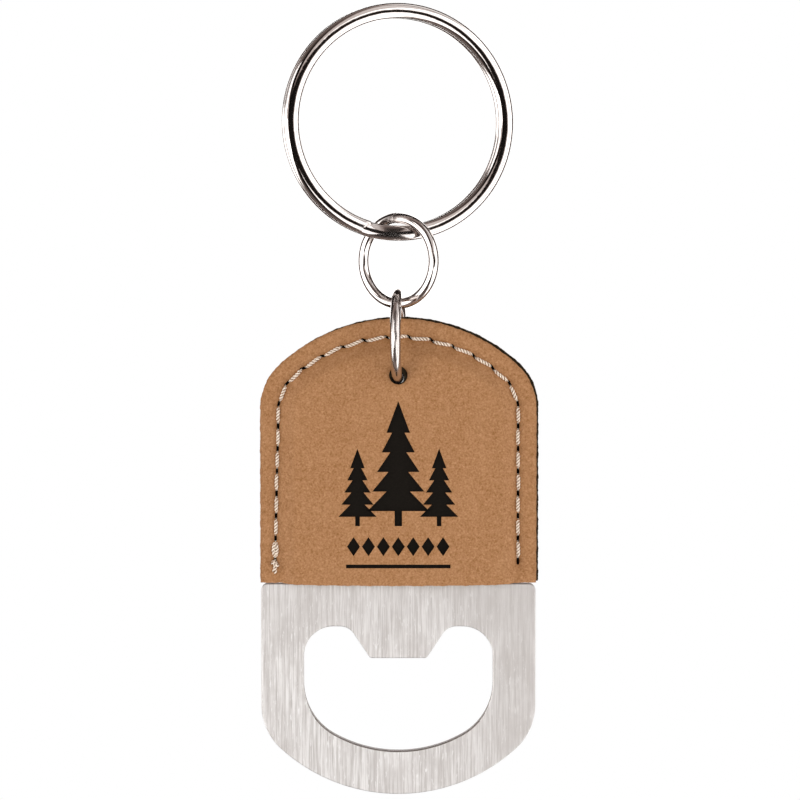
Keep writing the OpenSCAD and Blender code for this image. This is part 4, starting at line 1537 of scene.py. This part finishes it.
def build_surround(context, s):
    """Soft light by direction: bright at both sides, dim above and below, dark in front."""
    world = bpy.data.worlds.new("studio")
    world.use_nodes = True
    n = Nodes(world.node_tree)
    x, y, z = n.axes(n.node("TexCoord", out="Generated"))
    from_front = x.maths("ARCTAN2", x, y * -1)
    rise = z.maths("ARCSINE", z)
    away = y.maths("ARCCOSINE", y * -1)
    from_right = z.maths("ARCTAN2", z, x)
    from_left = z.maths("ARCTAN2", z, x * -1)

    def zone(value, start, stop, soft=s.soft):
        """1 between two angles and 0 outside them."""
        return value.between(start - soft, start + soft) \
            * (1 - value.between(stop - soft, stop + soft))

    # Brown from just off the camera to level with the object, then the soft boxes.
    near, level = 0.35, 1.6
    light = away.between(near, level) * (s.brown - s.base) + s.base \
        + zone(from_right, s.right_low, s.right_high) * s.right \
        + zone(from_left, s.left_low, s.left_high) * s.left \
        + (zone(from_right, s.right_high, s.right_haze, 2 * s.soft)
           + zone(from_left, s.left_high, s.left_haze, 2 * s.soft)) * s.haze
    light = light * (1 - zone(away, s.line_from, s.line_to, s.soft / 3) * 0.85)

    # A dark gap at the camera, dim towards the rear, and bright again behind.
    behind = away.between(s.dim_to - s.soft, s.dim_to + s.soft)
    dim = away.between(s.dim_from - s.soft, s.dim_from + s.soft) * (1 - behind)
    across = (from_front - s.gap_across) / s.gap_width
    upward = rise / s.gap_height
    gap = 1 - (across * across + upward * upward).between(0.6, 1.5)
    light = (light * (1 - gap * 0.995) * (1 - dim * 0.96) * (1 - behind)
             + behind * s.rear) * s.light
    warm = n.mix(light.between(0, 1.2), (1, 0.76, 0.68), (1, 0.985, 0.97))
    n.output("World", n.node("Background", {}, {"Color": warm, "Strength": light}))
    context.scene.world = world


def build_camera(context, s):
    """A camera square to the opener's face, a little above it."""
    sensor = 36
    aim = Vector((s.aim_x, 0, s.aim_z))
    back = Vector((0, -math.cos(s.rise), math.sin(s.rise)))
    data = bpy.data.cameras.new("camera")
    data.sensor_width = sensor
    data.lens = sensor * s.distance / s.frame_h
    data.clip_start, data.clip_end = 0.01, 20
    camera = bpy.data.objects.new("camera", data)
    camera.location = aim + back * s.distance
    camera.rotation_euler = (-back).to_track_quat("-Z", "Y").to_euler()
    context.scene.collection.objects.link(camera)
    context.scene.camera = camera
    context.scene.view_settings.view_transform = "Standard"


def build_stage(context):
    """Camera, floor, backdrop and lights."""
    s = sizes(context, "stage")
    build_camera(context, s)
    build_floor(context, s)
    build_backdrop(context, s)
    build_surround(context, s)
    upper_left = (-0.42, -0.5, 0.22)
    softbox(context, "key_light", (0.3, 0.3), upper_left, (0, 0, s.aim_z), s.key)


# ---------------------------------------------------------------- operators

def both_covers(context):
    """The side and the plan of the front cover, then of the back cover."""
    yield -1, Cover(context, (0, 0), seed=2.0)
    yield 1, Cover(context, BACK_SHIFT, seed=7.0)


class OPENER_OT_stage(bpy.types.Operator):
    """Set up the camera, the floor and the lights"""
    bl_idname = "opener.stage"
    bl_label = "Stage"

    def execute(self, context):
        build_stage(context)
        return {"FINISHED"}


class OPENER_OT_plate(bpy.types.Operator):
    """Build the steel opener plate"""
    bl_idname = "opener.plate"
    bl_label = "Opener plate"

    def execute(self, context):
        plate = build_plate(context)
        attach(plate, "tag")
        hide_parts("opener_plate")
        return {"FINISHED"}


class OPENER_OT_covers(bpy.types.Operator):
    """Build both leather covers, each a tan skin on a black board"""
    bl_idname = "opener.covers"
    bl_label = "Covers"

    def execute(self, context):
        for (side, cover), word in zip(both_covers(context), ("front", "back")):
            skin = build_skin(context, cover, side, word + "_leather", side < 0)
            board = build_board(context, cover, side, word + "_board", side < 0)
            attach(skin, "tag")
            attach(board, "tag")
            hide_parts(word + "_skin")
            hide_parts(word + "_core")
        return {"FINISHED"}


class OPENER_OT_stitching(bpy.types.Operator):
    """Sew the seam: the needle thread in front and the bobbin thread behind"""
    bl_idname = "opener.stitching"
    bl_label = "Stitching"

    def execute(self, context):
        for (side, cover), word in zip(both_covers(context), ("needle", "bobbin")):
            thread = build_stitches(context, cover, side, word + "_stitches")
            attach(thread, "tag")
            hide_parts(word + "_thread")
        return {"FINISHED"}


class OPENER_OT_small_rings(bpy.types.Operator):
    """Bend the link ring and the jump ring"""
    bl_idname = "opener.small_rings"
    bl_label = "Small rings"

    def execute(self, context):
        r = sizes(context, "rings")
        rings = (
            ("link_ring", LINK_LO, LINK_HI, r.link_turn, r.link_slit, mm(0.07),
             ((90, 22, 0.5), (-90, 16, 0.5), (8, 9, 0.4))),
            # The jump ring: wear at its top, painted shade where it passes into the tag, and a
            # dimmer painted reflection on its front.
            ("jump_ring", JUMP_LO, JUMP_HI, r.jump_turn, r.jump_slit, mm(0.04),
             ((90, 24, 0.8), (-90, 34, 1.0), (180, 60, 0.75))),
        )
        for name, lo, hi, turn, slit, skew, rubs_and_shade in rings:
            centre = np.array([0, 0, (lo[2] + hi[2]) / 2])
            ring = build_small_ring(context, name + "_wire", centre, turn, slit, skew, rubs_and_shade)
            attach(ring, name)
            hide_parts(name)
        return {"FINISHED"}


class OPENER_OT_key_ring(bpy.types.Operator):
    """Wind the split key ring"""
    bl_idname = "opener.key_ring"
    bl_label = "Key ring"

    def execute(self, context):
        ring = build_key_ring(context)
        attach(ring, "key_ring")
        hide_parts("key_ring")
        return {"FINISHED"}


OPERATORS = (OPENER_OT_stage, OPENER_OT_plate, OPENER_OT_covers, OPENER_OT_stitching,
             OPENER_OT_small_rings, OPENER_OT_key_ring)


class OPENER_PT_sidebar(bpy.types.Panel):
    """Sizes and steps of the keychain bottle opener"""
    bl_label = "Keychain bottle opener"
    bl_idname = "OPENER_PT_sidebar"
    bl_space_type = "VIEW_3D"
    bl_region_type = "UI"
    bl_category = "Opener"

    def draw(self, context):
        for group, kind in GROUPS.items():
            box = self.layout.box()
            box.label(text=kind.__doc__)
            for name in kind.__annotations__:
                box.prop(sizes(context, group), name)
        for operator in OPERATORS:
            self.layout.operator(operator.bl_idname)


CLASSES = (*GROUPS.values(), *OPERATORS, OPENER_PT_sidebar)


def register():
    for cls in CLASSES:
        bpy.utils.register_class(cls)
    for group, kind in GROUPS.items():
        setattr(bpy.types.Scene, "opener_" + group, bpy.props.PointerProperty(type=kind))


def unregister():
    for group in GROUPS:
        delattr(bpy.types.Scene, "opener_" + group)
    for cls in reversed(CLASSES):
        bpy.utils.unregister_class(cls)


def main():
    register()
    for operator in OPERATORS:
        group, name = operator.bl_idname.split(".")
        getattr(getattr(bpy.ops, group), name)()


if __name__ == "__main__":
    main()
